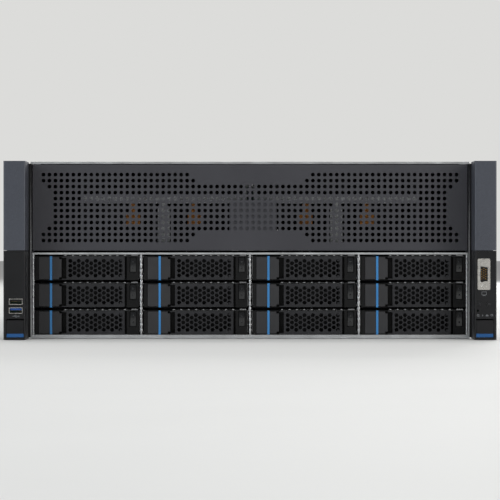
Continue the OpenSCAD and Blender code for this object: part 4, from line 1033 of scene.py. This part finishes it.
def lamp(name, place, target, size, power, colour=(1, 1, 1)):
    """A square soft light that faces a point."""
    data = bpy.data.lights.new(name, "AREA")
    data.shape = "RECTANGLE"
    data.size, data.size_y = size
    data.energy = power
    data.color = colour
    made = bpy.data.objects.new(name, data)
    bpy.context.scene.collection.objects.link(made)
    made.location = place
    made.rotation_euler = (Vector(target) - Vector(place)).to_track_quat("-Z", "Y").to_euler()
    made.visible_camera = False
    return made


class SERVER_OT_studio(Step, bpy.types.Operator):
    """Pale floor and background, soft lights and the camera straight in front"""

    bl_idname = "server.studio"
    bl_label = "Studio"

    def execute(self, context):
        scene, studio = context.scene, self.studio
        scene.view_settings.view_transform = "Standard"
        self.floor(studio)
        self.background(scene, studio)
        level = studio.front
        lamp("light_front_left", (-2.3, -2.3, 1.1), (0, -0.4, 0.09), (1.2, 1.4), 34 * level, (0.88, 0.94, 1.0))
        lamp("light_front_right", (2.3, -2.3, 1.1), (0, -0.4, 0.09), (1.2, 1.4), 40 * level, (1.0, 0.99, 0.97))
        lamp("light_top", (0, 0.1, 2.6), (0, 0, 0.1), (2.2, 2.2), 34)
        lamp("light_rear", (0.8, 2.8, 1.3), (0, 0.4, 0.09), (1.6, 1.2), 45)
        camera = bpy.data.cameras.new("camera")
        camera.sensor_width = 36
        camera.lens = 36 * studio.distance / studio.width
        camera.clip_start, camera.clip_end = 0.05, 60
        made = bpy.data.objects.new("camera", camera)
        scene.collection.objects.link(made)
        made.location = (0, NOSE_Y * MM - studio.distance, 0.0878)
        made.rotation_euler = (math.radians(90), 0, 0)
        scene.camera = made
        return {"FINISHED"}

    def floor(self, studio):
        """A disc of 14 m, very finely grained, the same colour as the background."""
        points, faces = revolve([(0, 0), (1.5, 0), (4, 0), (14, 0)], 64)
        mesh = bpy.data.meshes.new("floor")
        mesh.from_pydata(points.tolist(), [], faces.tolist())
        tidy_mesh(mesh)
        made = bpy.data.objects.new("floor", mesh)
        bpy.context.scene.collection.objects.link(made)
        if mesh.polygons[0].normal.z < 0:
            mesh.flip_normals()
        made.location = (0, 0, -0.0004)
        made_material, tree, shader = blank_material("matt_studio_floor")
        place = add(tree, "ShaderNodeTexCoord").outputs["Object"]
        darker = tuple(c * 0.985 for c in studio.floor)
        tint = ramp(tree, noise(tree, place, 180.0), [(0.3, darker), (0.7, tuple(studio.floor))])
        tree.links.new(tint, shader.inputs["Base Color"])
        shader.inputs["Roughness"].default_value = 0.75
        shader.inputs["Specular IOR Level"].default_value = 0.2
        mesh.materials.append(made_material)

    def background(self, scene, studio):
        """The camera sees the floor's colour. The light on the server is the fill, dimmer from the front than from
        above and behind, so that dark plastics stay dark: it rises from 0.45 of its level to all of it, as a smooth
        step of the direction's y + z."""
        world = bpy.data.worlds.new("studio")
        scene.world = world
        world.use_nodes = True
        tree = world.node_tree
        tree.nodes.clear()
        ray = add(tree, "ShaderNodeLightPath")
        way = add(tree, "ShaderNodeSeparateXYZ", {0: add(tree, "ShaderNodeTexCoord").outputs["Generated"]})
        rise = add(tree, "ShaderNodeMath", {0: way.outputs[1], 1: way.outputs[2]}, operation="ADD").outputs[0]
        level = add(tree, "ShaderNodeMapRange", {0: rise, 1: -0.6, 2: 0.8, 3: 0.45 * studio.sky, 4: studio.sky},
                    interpolation_type="SMOOTHSTEP")
        fill = add(tree, "ShaderNodeBackground", {"Color": (1, 1, 1), "Strength": level.outputs[0]})
        seen = add(tree, "ShaderNodeBackground", {"Color": tuple(studio.floor), "Strength": 1.0})
        mix = add(tree, "ShaderNodeMixShader",
                  {0: ray.outputs["Is Camera Ray"], 1: fill.outputs[0], 2: seen.outputs[0]})
        add(tree, "ShaderNodeOutputWorld", {"Surface": mix.outputs[0]})


# ---------------------------------------------------------------- panel and registration

STEPS = (SERVER_OT_case, SERVER_OT_case_screws, SERVER_OT_front_panel, SERVER_OT_contact_strips, SERVER_OT_ears,
         SERVER_OT_front_sockets, SERVER_OT_ear_marks, SERVER_OT_drive_carriers, SERVER_OT_status_windows, SERVER_OT_fans, SERVER_OT_fan_guards,
         SERVER_OT_cards, SERVER_OT_boards, SERVER_OT_supplies, SERVER_OT_studio)


class SERVER_PT_panel(bpy.types.Panel):
    """Lists the steps and what can be changed"""

    bl_label = "Rack server"
    bl_idname = "SERVER_PT_panel"
    bl_space_type = "VIEW_3D"
    bl_region_type = "UI"
    bl_category = "Server"

    def draw(self, context):
        layout = self.layout
        for group in (context.scene.server_colours, context.scene.server_sizes, context.scene.server_studio):
            box = layout.box()
            for name in group.__annotations__:
                box.prop(group, name)
        for step in STEPS:
            layout.operator(step.bl_idname)


CLASSES = (ServerColours, ServerSizes, ServerStudio, *STEPS, SERVER_PT_panel)


def register():
    for entry in CLASSES:
        bpy.utils.register_class(entry)
    bpy.types.Scene.server_colours = PointerProperty(type=ServerColours)
    bpy.types.Scene.server_sizes = PointerProperty(type=ServerSizes)
    bpy.types.Scene.server_studio = PointerProperty(type=ServerStudio)


def unregister():
    del bpy.types.Scene.server_colours, bpy.types.Scene.server_sizes, bpy.types.Scene.server_studio
    for entry in reversed(CLASSES):
        bpy.utils.unregister_class(entry)


def main():
    """Runs every step in order."""
    register()
    for step in STEPS:
        group, name = step.bl_idname.split(".")
        getattr(getattr(bpy.ops, group), name)()


if __name__ == "__main__":
    main()
